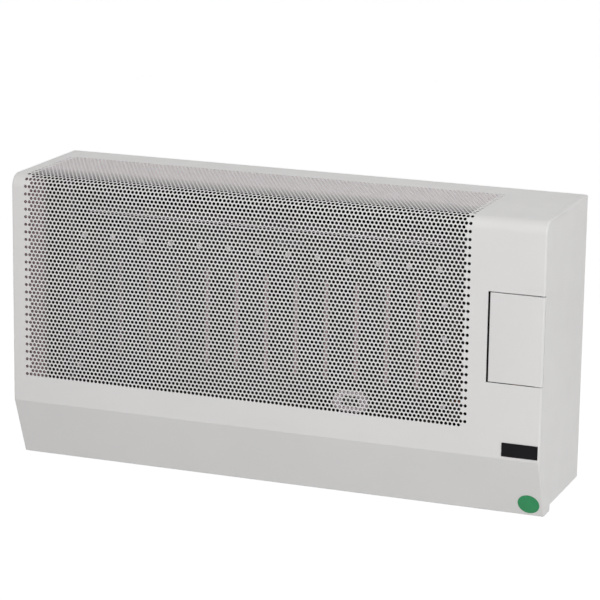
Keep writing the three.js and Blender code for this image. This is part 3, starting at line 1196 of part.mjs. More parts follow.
function buildPipesAndFlue() {
  const pipes = group(0, 0, 0);
  add(pipes, "gas_inlet_pipe", gasInletPipe(), copper);
  add(pipes, "inlet_union_nut", unionNut(), brass);
  add(pipes, "burner_pipe", burnerPipe(), copper);
  add(pipes, "thermostat_bulb", thermostatBulb(), copper);
  add(pipes, "thermostat_capillary", thermostatCapillary(), copper);
  add(pipes, "bulb_clip", bulbClip(), zincSteel);
  const flue = group(EXCHANGER_X, 0, 0);
  add(flue, "air_box", airBox(), zincSteel);
  add(flue, "intake_spigot", intakeSpigot(), zincSteel).position.z = FLUE_Z;
  add(flue, "exhaust_spigot", exhaustSpigot(), heatSteel).position.z = FLUE_Z;
}

buildCasing();
buildChassis();
buildExchanger();
buildControls();
buildPipesAndFlue();

export default heater;
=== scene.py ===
# Wall mounted gas heater: the visible surfaces, their materials, the studio and the camera. Metres.
import math
from collections import namedtuple

import bmesh
import bpy
import numpy as np
from mathutils import Matrix, Vector


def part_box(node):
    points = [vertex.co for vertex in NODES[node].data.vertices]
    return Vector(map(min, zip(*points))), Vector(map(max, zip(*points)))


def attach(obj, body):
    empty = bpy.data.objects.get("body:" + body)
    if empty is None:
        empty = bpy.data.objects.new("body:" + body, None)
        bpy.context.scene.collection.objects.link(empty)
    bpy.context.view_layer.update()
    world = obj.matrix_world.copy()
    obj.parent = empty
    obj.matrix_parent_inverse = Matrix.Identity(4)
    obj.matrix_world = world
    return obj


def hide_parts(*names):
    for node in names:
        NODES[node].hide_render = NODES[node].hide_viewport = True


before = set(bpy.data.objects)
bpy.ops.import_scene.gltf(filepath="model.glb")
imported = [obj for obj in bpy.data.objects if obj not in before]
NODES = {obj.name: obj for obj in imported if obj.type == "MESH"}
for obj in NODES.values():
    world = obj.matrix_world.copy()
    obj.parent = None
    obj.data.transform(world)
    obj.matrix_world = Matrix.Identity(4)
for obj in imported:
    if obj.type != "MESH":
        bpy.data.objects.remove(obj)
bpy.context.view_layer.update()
MM = 0.001

# ---- Sizes of the casing, as in the solids ----
HALF_WIDTH = 437.5 * MM
TOP = 232 * MM
BOTTOM = -232 * MM
DEPTH = 225 * MM
SHEET = 1.0 * MM
WALL_GAP = 1.0 * MM
TOP_RADIUS = 20 * MM
CREASE_Z = -136 * MM
SLANT_SETBACK = 38 * MM
LIP_DEPTH = 28 * MM
SIDE_LIFT = 12 * MM
CORNER_RADIUS = 3.2 * MM  # the rounded edges between front and sides
CREASE_RADIUS = 4 * MM
LIP_RADIUS = 2.5 * MM
FIT = 0.3 * MM
EDGE = HALF_WIDTH - CORNER_RADIUS  # where the flat front ends
FOLD_STEPS = 6
TAB_WIDTH = 10 * MM  # each side panel's tab on the top, from TAB_FRONT to the wall
TAB_FRONT = -121 * MM
JOGGLE = (-41 * MM, -10 * MM)  # the side's rear strips step in a little at these distances from the wall
JOGGLE_STEP = 0.25 * MM

# ---- Perforation: staggered rows, columns counted in half pitches from x = ZONE_X ----
HOLE_RADIUS = 2.56 * MM
HALF_PITCH = 3.3445 * MM
ROW_PITCH = 6.096 * MM
ZONE_X = -31.93 * MM
EVEN_COLUMNS = (-114, 102)
ODD_COLUMNS = (-111, 105)
FIRST_ROW_Z = -90.8 * MM
ROW_COUNT = 80
HOLE_SIDES = 12

# ---- Control door and its opening ----
OPENING_LEFT = 350 * MM
OPENING_LOW = -19.6 * MM
OPENING_HIGH = 120.4 * MM
DOOR_LEFT = 353 * MM
DOOR_LOW = -18.6 * MM
DOOR_HIGH = 118.8 * MM
DOOR_RETURN = 8 * MM
DOOR_BEND = 1.3 * MM
HINGE = (434.3 * MM, -221.8 * MM)  # x and y of the rolled edge's centre
HINGE_ROLL = 3.2 * MM

# ---- The exchanger's cover behind the perforation, x and z from the middle of its flange ----
CENTRE = Vector((-47.5 * MM, -148 * MM, -6.5 * MM))
COVER_HALF = (317.5 * MM, 143.5 * MM)
COVER_FRONT = -4.1 * MM
COVER_SHEET = 1.4 * MM
FIELD_HALF = (295.5 * MM, 121.5 * MM)
FIELD_CORNER = 18 * MM
FIELD_RISE = 14.5 * MM
PRESS = 3 * MM  # width of the pressed edge round the raised field
RIB_PITCH = 49.7 * MM
RIB_COUNT = 12
RIBS = [(i - (RIB_COUNT - 1) / 2) * RIB_PITCH for i in range(RIB_COUNT)]
RIB_HALF = 9 * MM
RIB_RISE = 12 * MM
RIB_ENDS = (-56 * MM, 112 * MM)
CREST_HIGHLIGHT_Y = -177.1 * MM  # where the painted highlights on the ribs' crests begin
SHIELD_EDGE = -138.6 * MM  # the painted highlight on the heat shield's front edge lies before this
SCREW_INSET = 9.5 * MM
SCREWS_UP = 5
SIGHT = (164 * MM, -84 * MM)
SIGHT_Y = -20.2 * MM
FRAME_SIZE = (57 * MM, 33 * MM)
FRAME_CORNER = 16.4 * MM
WINDOW = 7.5 * MM  # half its width
WINDOW_CORNER = 3.5 * MM
BURNT_HALF = (14 * MM, 8.6 * MM)  # of the frame's burnt face


# ---- Node materials ----
def connect(tree, node, inputs):
    """Gives a node's inputs, by name or number, plain values or links from sockets."""
    for key, value in inputs.items():
        if hasattr(value, "is_linked"):
            tree.links.new(value, node.inputs[key])
        else:
            node.inputs[key].default_value = value


def add_node(tree, kind, inputs=None, **settings):
    made = tree.nodes.new(kind)
    for key, value in settings.items():
        setattr(made, key, value)
    connect(tree, made, inputs or {})
    return made


def linear(r, g, b):
    """Display colours 0-255 as the linear colours the nodes take."""
    def one(v):
        v /= 255
        return v / 12.92 if v <= 0.04045 else ((v + 0.055) / 1.055) ** 2.4
    return one(r), one(g), one(b), 1


class Nodes:
    """A material's node tree with short calls for adding nodes and links."""

    def __init__(self, name):
        self.material = bpy.data.materials.new(name)
        self.material.use_nodes = True
        self.tree = self.material.node_tree
        self.tree.nodes.clear()
        self.shader = self.node("ShaderNodeBsdfPrincipled")
        self.output = self.node("ShaderNodeOutputMaterial", {"Surface": self.shader.outputs["BSDF"]})
        self.coordinates = self.node("ShaderNodeTexCoord")
        self.place = self.coordinates.outputs["Object"]

    def node(self, kind, inputs=None, **settings):
        return add_node(self.tree, kind, inputs, **settings)

    def noise(self, scale, detail=4, roughness=0.55):
        """Noise with about that many cells to a metre."""
        inputs = {"Vector": self.place, "Scale": scale, "Detail": detail, "Roughness": roughness}
        return self.node("ShaderNodeTexNoise", inputs).outputs["Fac"]

    def spread(self, source, low, high, to_low=0.0, to_high=1.0):
        inputs = {"Value": source, "From Min": low, "From Max": high, "To Min": to_low, "To Max": to_high}
        return self.node("ShaderNodeMapRange", inputs).outputs["Result"]

    def wander(self, scale, detail, low, high):
        """A value that wanders between low and high."""
        return self.spread(self.noise(scale, detail), 0.3, 0.7, low, high)

    def mix(self, factor, first, second):
        """A mix of two linear colours or sockets. The node's colours are its sockets 6, 7 and 2."""
        return self.node("ShaderNodeMix", {0: factor, 6: first, 7: second}, data_type="RGBA").outputs[2]

    def patches(self, scale, detail, first, second):
        """Two display colours in soft patches."""
        return self.mix(self.wander(scale, detail, 0, 1), linear(*first), linear(*second))

    def along(self, axis, source="Object"):
        """The place along an axis, or with source="Normal" how far the surface faces that way."""
        inputs = {"Vector": self.coordinates.outputs[source]}
        return self.node("ShaderNodeSeparateXYZ", inputs).outputs[axis]

    def bump(self, source, strength, distance, below=None):
        inputs = {"Height": source, "Strength": strength, "Distance": distance}
        if below is not None:
            inputs["Normal"] = below
        return self.node("ShaderNodeBump", inputs).outputs["Normal"]

    def peel(self, below=None):
        """The fine orange peel of a sprayed coat."""
        return self.bump(self.noise(900, 2), 0.05, 0.3 * MM, below)

    def finish(self, color, roughness, normal=None, **values):
        inputs = {key.replace("_", " "): value for key, value in values.items()}
        inputs.update({"Base Color": color, "Roughness": roughness})
        if normal is not None:
            inputs["Normal"] = normal
        connect(self.tree, self.shader, inputs)
        return self.material


def painted(name, base, tint, roughness=0.38, shine=0.45):
    """Powder coat: an orange-peel skin with faint cloudiness."""
    n = Nodes(name)
    rough = n.wander(35, 4, roughness - 0.05, roughness + 0.07)
    normal = n.peel(n.bump(n.noise(60, 2), 0.02, 1 * MM))
    return n.finish(n.patches(7, 3, base, tint), rough, normal, Specular_IOR_Level=shine)


def metal(name, base, tint, roughness, scale=220, metallic=1.0, bump=0.08):
    n = Nodes(name)
    fine = n.noise(scale, 5, 0.6)
    rough = n.spread(fine, 0.25, 0.75, roughness - 0.1, roughness + 0.12)
    return n.finish(n.patches(18, 5, base, tint), rough, n.bump(fine, bump, 0.4 * MM), Metallic=metallic)


def zinc(name, shaded_front=False):
    """Zinc-coated sheet with its faint spangles, or with painted shade darkening the side that faces the
    room.
    """
    n = Nodes(name)
    cells = n.node("ShaderNodeTexVoronoi", {"Vector": n.place, "Scale": 150})
    shade = n.node("ShaderNodeSeparateColor", {"Color": cells.outputs["Color"]})
    color = n.mix(shade.outputs["Red"], linear(160, 164, 167), linear(173, 177, 179))
    rough = (0.4, 0.5)
    if shaded_front:
        # Painted shade: faces turned to the room go near black, standing in for the shadow behind the grille.
        color = n.mix(n.spread(n.along("Y", "Normal"), -0.5, -0.6), color, linear(34, 31, 32))
        rough = (0.6, 0.7)
    rough = n.spread(shade.outputs["Green"], 0, 1, *rough)
    return n.finish(color, rough, n.bump(n.noise(400, 3), 0.06, 0.3 * MM), Metallic=0.9)


def moulded(name, base, tint, roughness=0.45, scale=1400, shine=0.4):
    n = Nodes(name)
    rough = n.wander(120, 3, roughness - 0.05, roughness + 0.08)
    normal = n.bump(n.noise(scale, 2), 0.12, 0.3 * MM)
    return n.finish(n.patches(40, 3, base, tint), rough, normal, Specular_IOR_Level=shine)


def side_lining_shaded(name):
    """The inside of a side panel: light paint near the front, going dark behind it as painted shade where the
    panel lies in shadow.
    """
    n = Nodes(name)
    shade_behind = n.spread(n.along("Y"), -125 * MM, -95 * MM)
    color = n.mix(shade_behind, n.patches(7, 3, (255, 222, 231), (250, 216, 225)), linear(44, 40, 41))
    return n.finish(color, n.wander(35, 4, 0.45, 0.6), n.peel(), Specular_IOR_Level=0.3)


def hole_edges_shaded(name):
    """The coat inside the top's holes: light paint, darkened next to the bend as painted shade."""
    n = Nodes(name)
    out_of_shade = n.spread(n.along("Y"), -DEPTH + TOP_RADIUS, -DEPTH + TOP_RADIUS + 60 * MM)
    light = n.mix(n.noise(60, 3), linear(224, 212, 215), linear(216, 204, 208))
    color = n.mix(out_of_shade, linear(40, 36, 38), light)
    return n.finish(color, n.wander(90, 3, 0.5, 0.65), n.peel(), Specular_IOR_Level=0.2)


def shield_metal_with_painted_light(name):
    """Aluminised sheet, darkened as painted shade, with a painted highlight along its front edge."""
    n = Nodes(name)
    # Painted highlight: a thin bright band along the front edge.
    edge = n.spread(n.along("Y"), SHIELD_EDGE, SHIELD_EDGE - 0.3 * MM)
    color = n.mix(edge, n.patches(18, 5, (50, 46, 47), (38, 35, 36)), linear(206, 196, 200))
    rough = n.spread(n.noise(150, 5, 0.6), 0.25, 0.75, 0.45, 0.67)
    return n.finish(color, rough, n.bump(n.noise(150, 5), 0.08, 0.4 * MM), Metallic=0.3)


def glass(name):
    n = Nodes(name)
    color = n.mix(n.spread(n.noise(25, 3), 0.4, 0.8), linear(225, 230, 230), linear(190, 192, 188))
    return n.finish(color, n.wander(60, 3, 0.04, 0.12), Transmission_Weight=0.85, IOR=1.5)


def enamel_with_painted_highlights(name):
    """Dark enamel with painted highlights along the crests of the ribs, weakest at the left."""
    n = Nodes(name)
    # Painted highlight: the crests turn pale pinkish grey.
    crest_highlight = n.spread(n.along("Y"), CREST_HIGHLIGHT_Y, CREST_HIGHLIGHT_Y - 0.12 * RIB_RISE)
    highlight_strength = n.spread(n.along("X"), -160 * MM, -135 * MM, 0.3, 1)
    crest_highlight = n.node("ShaderNodeMath", {0: crest_highlight, 1: highlight_strength}, operation="MULTIPLY").outputs[0]
    color = n.mix(crest_highlight, n.patches(18, 5, (20, 17, 17), (30, 26, 26)), linear(196, 166, 174))
    normal = n.bump(n.noise(600, 2), 0.08, 0.3 * MM)
    return n.finish(color, n.wander(70, 4, 0.38, 0.6), normal, Specular_IOR_Level=0.2)


WHITE = painted("white_paint", (229, 228, 227), (226, 225, 224))
# Painted shade: the sheet's back and the front holes' walls are near black, standing in for the shadow inside
# the casing.
SHADED_INNER_FACE = painted("inner_face_painted_shade", (30, 28, 29), (24, 22, 23), 0.75, 0.1)
ZINC = zinc("zinc_steel")
SHADED_BACK_ZINC = zinc("back_zinc_painted_shade", True)
HEAT_STEEL = metal("heat_steel", (60, 56, 55), (84, 76, 70), 0.5)
BRASS = metal("brass", (190, 160, 92), (165, 132, 74), 0.32)
COPPER = metal("copper", (184, 117, 84), (150, 88, 62), 0.34, 160)
CAST = metal("cast_aluminium", (176, 178, 180), (158, 160, 163), 0.5, 700, 0.9, 0.25)
BLACK = moulded("black_plastic", (30, 30, 31), (38, 38, 39))
RED = moulded("red_plastic", (165, 36, 30), (150, 30, 26), 0.35)
LABEL_BLACK = moulded("label_black", (17, 16, 19), (22, 21, 24), 0.5, 300, 0.1)
LABEL_GREEN = moulded("label_green", (24, 134, 78), (30, 146, 88), 0.32, 300)
FIBRE = moulded("seal_fibre", (200, 194, 182), (182, 175, 160), 0.9, 500)
CERAMIC = moulded("ceramic", (236, 231, 221), (226, 220, 208), 0.25, 200)
HIGHLIT_RIB_ENAMEL = enamel_with_painted_highlights("cover_enamel_painted_highlights")
ENAMEL = painted("dark_enamel", (22, 19, 19), (34, 29, 29), 0.55, 0.15)
BRIGHT = metal("bright_zinc", (255, 248, 250), (250, 242, 245), 0.34, metallic=0.2)
# The sight frame's light paint is pushed to the palest pinkish white as a painted reflection of its metal.
RIM_PAINT_AND_REFLECTION = painted("sight_rim_painted_reflection", (255, 240, 246), (250, 232, 240), 0.35, 0.6)
SHIELD_SHADE_AND_HIGHLIGHT = shield_metal_with_painted_light("aluminised_shade_and_highlight")
SHADED_HOLE_EDGE = hole_edges_shaded("hole_edge_painted_shade")
SHADED_SIDE_INNER = side_lining_shaded("side_inner_painted_shade")
GLASS = glass("sight_glass")
FINISHES = {
    WHITE: "front_top_panel front_grille top_grille left_side_panel right_side_panel control_door",
    ZINC: "door_hinge_rod hinge_bracket_upper hinge_bracket_lower casing_bracket_left "
          "casing_bracket_right casing_screw_left casing_screw_right control_bracket valve_spindle "
          "igniter_nut bulb_clip air_box intake_spigot",
    SHADED_BACK_ZINC: "back_plate",
    BRIGHT: "sight_screw_left sight_screw_right sight_glass_frame",
    SHIELD_SHADE_AND_HIGHLIGHT: "heat_shield",
    BLACK: "magnet_catch control_knob igniter_body",
    LABEL_BLACK: "name_plate",
    LABEL_GREEN: "round_sticker",
    ENAMEL: "exchanger_rear_shell exchanger_front_cover",
    FIBRE: "exchanger_gasket sight_glass_gasket pilot_gasket",
    HEAT_STEEL: "exchanger_baffle burner_tube burner_cradle_left burner_cradle_right "
                "pilot_plate exhaust_spigot exchanger_bracket_left exchanger_bracket_right",
    GLASS: "sight_glass",
    BRASS: "injector pilot_burner inlet_union_nut",
    COPPER: "pilot_tube thermocouple gas_inlet_pipe burner_pipe thermostat_bulb thermostat_capillary",
    CERAMIC: "ignition_electrode",
    RED: "ignition_lead igniter_button",
    CAST: "gas_valve_body",
}
for finish, names in FINISHES.items():
    for name in names.split():
        NODES[name].data.materials.clear()
        NODES[name].data.materials.append(finish)


# ---- The casing sheet's line ----
Stretch = namedtuple("Stretch", "start into out radius length steps")


class Profile:
    """The casing sheet's outer line in (y, z), by the distance along it from the bottom lip's back end."""

    def __init__(self, corners, radii, steps):
        self.stretches = []  # straight ones have no radius
        points = [Vector(c) for c in corners]
        start = points[0]
        for i, (radius, count) in enumerate(zip(radii, steps), 1):
            into = (points[i] - points[i - 1]).normalized()
            out = (points[i + 1] - points[i]).normalized()
            turn = abs(into.angle_signed(out))
            back = radius * math.tan(turn / 2)
            bend = points[i] - into * back
            self.stretches.append(Stretch(start, into, into, 0, (bend - start).length, 1))
            self.stretches.append(Stretch(bend, into, out, radius, radius * turn, count))
            start = points[i] + out * back
        self.stretches.append(Stretch(start, out, out, 0, (points[-1] - start).length, 1))
        self.length = sum(stretch.length for stretch in self.stretches)

    def at(self, s):
        """Point and outward normal at distance s."""
        for stretch in self.stretches:
            if s <= stretch.length or stretch is self.stretches[-1]:
                break
            s -= stretch.length
        normal = Vector((-stretch.into.y, stretch.into.x))
        if not stretch.radius:
            return stretch.start + stretch.into * s, normal
        way = 1 if stretch.into.cross(stretch.out) > 0 else -1
        turned = Matrix.Rotation(way * s / stretch.radius, 2) @ normal
        return stretch.start + (normal - turned) * stretch.radius * way, turned

    def between(self, low, high):
        """The distances from low to high at which the sheet needs a line of points."""
        found, s = [], 0.0
        for stretch in self.stretches:
            if stretch.radius:
                found += [s + stretch.length * k / stretch.steps for k in range(stretch.steps + 1)]
            s += stretch.length
        found = sorted(set(round(v, 9) for v in found))
        return [low] + [v for v in found if low + 1e-6 < v < high - 1e-6] + [high]

    def distance_at_height(self, z):
        """Distance at which the upright front has that height."""
        s = 0.0
        for stretch in self.stretches:
            if abs(stretch.start.x + DEPTH) < 1e-6 and not stretch.radius:
                return s + z - stretch.start.y
            s += stretch.length
        raise ValueError("the casing has no upright front")


CASING = Profile(
    [(-DEPTH + SLANT_SETBACK + LIP_DEPTH, BOTTOM), (-DEPTH + SLANT_SETBACK, BOTTOM), (-DEPTH, CREASE_Z),
     (-DEPTH, TOP), (-WALL_GAP, TOP)],
    [LIP_RADIUS, CREASE_RADIUS, TOP_RADIUS], [4, 4, 14])
FIRST_ROW = CASING.distance_at_height(FIRST_ROW_Z)
ZONE_LOW = FIRST_ROW - ROW_PITCH / 2
ZONE_HIGH = ZONE_LOW + ROW_COUNT * ROW_PITCH
ZONE_LEFT = ZONE_X + (EVEN_COLUMNS[0] - 1) * HALF_PITCH
ZONE_RIGHT = ZONE_X + (ODD_COLUMNS[1] + 1) * HALF_PITCH
DOOR_S = (CASING.distance_at_height(OPENING_LOW), CASING.distance_at_height(OPENING_HIGH))
TAB_S = CASING.length + WALL_GAP + TAB_FRONT - FIT
TABLE_S = np.linspace(0, CASING.length, 6001)
TABLE = np.array([[*point, *normal] for point, normal in map(CASING.at, TABLE_S)])


def placed(x, s, depth):
    """Points of the sheet at (x, s), a depth below its outer face, and the outward normals."""
    y, z, ny, nz = (np.interp(s, TABLE_S, TABLE[:, k]) for k in range(4))
    size = np.hypot(ny, nz)
    ny, nz = ny / size, nz / size
    points = np.stack([x, y - ny * depth, z - nz * depth], -1)
    return points, np.stack([np.zeros_like(x), ny, nz], -1)


def upward(normals):
    """The sheet's own direction of growing distance, where it has those normals."""
    return np.stack([np.zeros(len(normals)), normals[:, 2], -normals[:, 1]], -1)


# ---- Meshes ----
def linked(name, data):
    made = bpy.data.objects.new(name, data)
    bpy.context.scene.collection.objects.link(made)
    return made


def stands_for(made, nodes, body="heater"):
    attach(made, body)
    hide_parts(*nodes.split())
    return made


def sheet_mesh(name, points, loops, sizes, normals, marks, materials, nodes):
    """A piece of the casing sheet, from arrays. Each face has its number of corners and a material mark."""
    data = bpy.data.meshes.new(name)
    data.vertices.add(len(points))
    data.vertices.foreach_set("co", np.asarray(points, np.float32).ravel())
    data.loops.add(len(loops))
    data.loops.foreach_set("vertex_index", np.asarray(loops, np.int32))
    data.polygons.add(len(sizes))
    starts = np.concatenate([[0], np.cumsum(sizes)[:-1]]).astype(np.int32)
    data.polygons.foreach_set("loop_start", starts)
    data.update(calc_edges=True)
    data.polygons.foreach_set("use_smooth", np.ones(len(sizes), bool))
    data.polygons.foreach_set("material_index", np.asarray(marks, np.int32))
    data.normals_split_custom_set(np.asarray(normals, np.float32))
    for material in materials:
        data.materials.append(material)
    stands_for(linked(name, data), nodes)


def loft(rows, ring=False):
    """Points and faces through rows of points, capped at both ends unless the last row meets the first."""
    count = len(rows[0])
    points = [tuple(p) for row in rows for p in row]
    total = len(points)
    faces = []
    for i in range(len(rows) if ring else len(rows) - 1):
        for k in range(count):
            a, b = i * count + k, i * count + (k + 1) % count
            faces.append((a, b, (b + count) % total, (a + count) % total))
    if not ring:
        faces += [tuple(range(count)), tuple(range(total - 1, total - count - 1, -1))]
    return points, faces


def across_x(outline, low, high):
    """An outline in (y, z) drawn out between two x."""
    return loft([[(x, y, z) for y, z in outline] for x in (low, high)])


def across_z(outline, low, high):
    """An outline in (x, y) drawn out between two z."""
    return loft([[(x, y, z) for x, y in outline] for z in (low, high)])


def piece(name, parts, material, nodes, body="heater", angle=35):
    """One object from parts, each points and faces, smooth but for its real edges."""
    points, faces = [], []
    for corners, sides in parts:
        faces += [tuple(len(points) + k for k in side) for side in sides]
        points += corners
    data = bpy.data.meshes.new(name)
    data.from_pydata(points, [], faces)
    data.materials.append(material)
    mesh = bmesh.new()
    mesh.from_mesh(data)
    bmesh.ops.remove_doubles(mesh, verts=mesh.verts, dist=1e-6)
    bmesh.ops.recalc_face_normals(mesh, faces=mesh.faces)
    mesh.to_mesh(data)
    mesh.free()
    data.polygons.foreach_set("use_smooth", np.ones(len(data.polygons), bool))
    data.set_sharp_from_angle(angle=math.radians(angle))
    data.update()
    return stands_for(linked(name, data), nodes, body)


def second_material(made, material, where):
    """Another material on the faces for which where is true."""
    made.data.materials.append(material)
    for face in made.data.polygons:
        if where(face):
            face.material_index = 1


# ---- Outlines ----
def arc_points(centre, radius, start, end, steps):
    found = []
    for k in range(steps + 1):
        t = math.radians(start + (end - start) * k / steps)
        found.append((centre[0] + radius * math.cos(t), centre[1] + radius * math.sin(t)))
    return found


def round_outline(reach, count):
    """A closed outline, from how far it reaches at each angle."""
    angles = [2 * math.pi * k / count for k in range(count)]
    return [(reach(t) * math.cos(t), reach(t) * math.sin(t)) for t in angles]


def rings(pairs, count=24):
    """Circles as layers, from their radii and heights in millimetres."""
    return [(round_outline(lambda t: radius * MM, count), height * MM) for radius, height in pairs]


def hexagon(radius):
    half = math.pi / 6
    return round_outline(lambda t: radius * math.cos(half) / math.cos((t + half) % (2 * half) - half), 24)


def fluted(radius, depth):
    """A circle with shallow grips pressed into it."""
    def reach(t):
        away = (t / GRIP_ANGLE % 1 - 0.5) * GRIP_ANGLE * radius
        return radius - depth * max(0.0, 1 - (away / GRIP_HALF) ** 2)
    return round_outline(reach, KNOB_SIDES)


def rounded_outline(width, height, radius, steps=6):
    found = []
    for x, z, start in ((1, 1, 0), (-1, 1, 90), (-1, -1, 180), (1, -1, 270)):
        centre = (x * (width / 2 - radius), z * (height / 2 - radius))
        found += arc_points(centre, radius, start, start + 90, steps)
    return found


def even_outline(outline, count=72):
    """The same outline with evenly spaced points, the first at the middle of its right side."""
    start = max(range(len(outline)), key=lambda k: outline[k][0] - abs(outline[k][1]) * 0.01)
    points = np.array(outline[start:] + outline[:start] + [outline[start]])
    run = np.concatenate([[0], np.cumsum(np.hypot(*np.diff(points, axis=0).T))])
    at = np.linspace(0, run[-1], count, endpoint=False)
    found = np.stack([np.interp(at, run, points[:, k]) for k in (0, 1)], -1)
    turned = np.unwrap(np.arctan2(found[:, 1], found[:, 0]))
    return [tuple(v) for v in np.roll(found, -int(np.argmin(np.abs(turned))), 0)]


def layers_part(layers, place, tilt=0.0, ring=False):
    """Outlines at rising heights, facing -Y."""
    turn = Matrix.Translation(place) @ Matrix.Rotation(tilt, 4, "X")
    return loft([[turn @ Vector((x, -height, z)) for x, z in outline] for outline, height in layers], ring)


def thick_line(points, thickness=SHEET):
    """A sheet's section: an open line and its copy a thickness to the left."""
    line = [Vector(p) for p in points]
    other = []
    for i, point in enumerate(line):
        into = (point - line[i - 1]).normalized() if i else (line[1] - point).normalized()
        out = (line[i + 1] - point).normalized() if i < len(line) - 1 else into
        left = Vector((-into.y - out.y, into.x + out.x)).normalized()
        reach = thickness / max(0.2, left.dot(Vector((-into.y, into.x))))
        other.append(point + left * reach)
    return [tuple(p) for p in line + other[::-1]]


# ---- The perforated and plain parts of the casing sheet ----
def cell_face():
    """Triangles between a cell's outer points, 0 to 5, and its hole's points, from 6."""
    found = []
    for k in range(6):
        near, (a, b, c) = (k + 1) % 6, [6 + (2 * k + j) % HOLE_SIDES for j in range(3)]
        found += [(k, near, a), (near, b, a), (near, c, b)]
    return np.array(found)


def open_rims(x, s, front_normals, total):
    """Faces that close the sheet's thickness along the cells' edges that no other cell shares."""
    middles = [(v[:, :6] + np.roll(v[:, :6], -1, 1)).ravel() / 2 for v in (x, s)]
    keys = np.round(np.stack(middles, -1) * 1e6).astype(np.int64)
    _, where, times = np.unique(keys, axis=0, return_index=True, return_counts=True)
    cell, edge = np.divmod(np.sort(where[times == 1]), 6)
    a, b = cell * x.shape[1] + edge, cell * x.shape[1] + (edge + 1) % 6
    along_x, along_s = (v.ravel()[b] - v.ravel()[a] for v in (x, s))
    out = along_s[:, None] * np.array([[1.0, 0, 0]]) - along_x[:, None] * upward(front_normals[a])
    out /= np.linalg.norm(out, axis=1)[:, None]
    return np.stack([b, a, a + total, b + total], -1), np.repeat(out, 4, 0)


def perforated_rows(name, first, last):
    """Rows of punched holes, each in its own cell, with the sheet's thickness inside every hole."""
    centres = []
    for row in range(first, last):
        low, high = ODD_COLUMNS if row % 2 else EVEN_COLUMNS
        centres += [(ZONE_X + k * HALF_PITCH, FIRST_ROW + row * ROW_PITCH) for k in range(low, high + 1, 2)]
    centres = np.array(centres)
    angles = np.arange(HOLE_SIDES) * 2 * math.pi / HOLE_SIDES
    hole_x, hole_s = np.cos(angles), np.sin(angles)
    cell_x = np.concatenate([HALF_PITCH * np.array([1, 1, 0, -1, -1, 0]), HOLE_RADIUS * hole_x])
    cell_s = np.concatenate([ROW_PITCH / 2 * np.array([-1, 1, 1, 1, -1, -1]), HOLE_RADIUS * hole_s])
    x, s = centres[:, :1] + cell_x, centres[:, 1:] + cell_s
    count, per = x.shape
    total = count * per
    front, front_normals = placed(x.ravel(), s.ravel(), 0.0)
    back, _ = placed(x.ravel(), s.ravel(), SHEET)
    base = (np.arange(count) * per)[:, None, None]
    front_faces = (cell_face() + base).reshape(-1, 3)
    back_faces = front_faces[:, ::-1] + total
    ring = 6 + np.arange(HOLE_SIDES)
    after = np.roll(ring, -1)
    walls = (np.stack([ring, after, after + total, ring + total], -1) + base).reshape(-1, 4)
    # A wall's normals point to its hole's centre line.
    cell_normals = front_normals.reshape(count, per, 3)
    up = upward(cell_normals[:, 6:].reshape(-1, 3)).reshape(count, HOLE_SIDES, 3)
    inward = -hole_x[:, None] * np.array([1.0, 0, 0]) - hole_s[:, None] * up
    beside = np.roll(inward, -1, 1)
    wall_normals = np.stack([inward, beside, beside, inward], 2).reshape(-1, 3)
    rims, rim_normals = open_rims(x, s, front_normals, total)
    loops = np.concatenate([faces.ravel() for faces in (front_faces, back_faces, walls, rims)])
    sizes = np.repeat([3, 4], [2 * len(front_faces), len(walls) + len(rims)])
    face_normals = front_normals[front_faces.ravel()], -front_normals[front_faces[:, ::-1].ravel()]
    normals = np.concatenate([*face_normals, wall_normals, rim_normals])
    # The top's holes are seen at a glancing angle, so their painted edges show instead of the dark inside;
    # next to the bend these edges carry painted shade.
    # The front holes' walls and the sheet's back take the near-black inner face, which is painted shade.
    wall_marks = np.repeat(np.where(cell_normals[:, 0, 2] > 0.5, 2, 1), HOLE_SIDES)
    face_marks = np.repeat([0, 1], len(front_faces))
    marks = np.concatenate([face_marks, wall_marks, np.zeros(len(rims))])
    sheet_mesh(name, np.concatenate([front, back]), loops, sizes, normals, marks,
               (WHITE, SHADED_INNER_FACE, SHADED_HOLE_EDGE), "front_top_panel front_grille top_grille")


def sheet_patch(boxes, name):
    """Plain parts of the sheet: boxes in (x, s) with both faces and their outer rims."""
    points, loops, normals = [], [], []
    for x0, x1, s0, s1 in boxes:
        lines = CASING.between(s0, s1)
        start, size = sum(len(p) for p in points), 2 * len(lines)
        xs, ss = np.array([x0, x1] * len(lines)), np.repeat(lines, 2)
        front, n = placed(xs, ss, 0.0)
        points += [front, placed(xs, ss, SHEET)[0]]
        faces = []
        for a in range(0, size - 2, 2):
            quad = [a, a + 1, a + 3, a + 2]
            faces.append((quad, n[quad]))
            faces.append(([size + q for q in quad[::-1]], -n[quad[::-1]]))
            for way, p, q in ((-1, a, a + 2), (1, a + 3, a + 1)):
                faces.append(([p, q, size + q, size + p], [[way, 0.0, 0.0]] * 4))
        up = upward(n)
        faces.append(([size, size + 1, 1, 0], [-up[0]] * 4))
        faces.append(([size - 2, size - 1, 2 * size - 1, 2 * size - 2], [up[-1]] * 4))
        for corners, directions in faces:
            loops += [start + corner for corner in corners]
            normals += list(directions)
    sizes = np.full(len(loops) // 4, 4)
    sheet_mesh(name, np.concatenate(points), loops, sizes, normals, np.zeros(len(sizes)), (WHITE,),
               "front_top_panel")


third = ROW_COUNT // 3
perforated_rows("grille_lower", 0, third)
perforated_rows("grille_middle", third, 2 * third)
perforated_rows("grille_upper", 2 * third, ROW_COUNT)

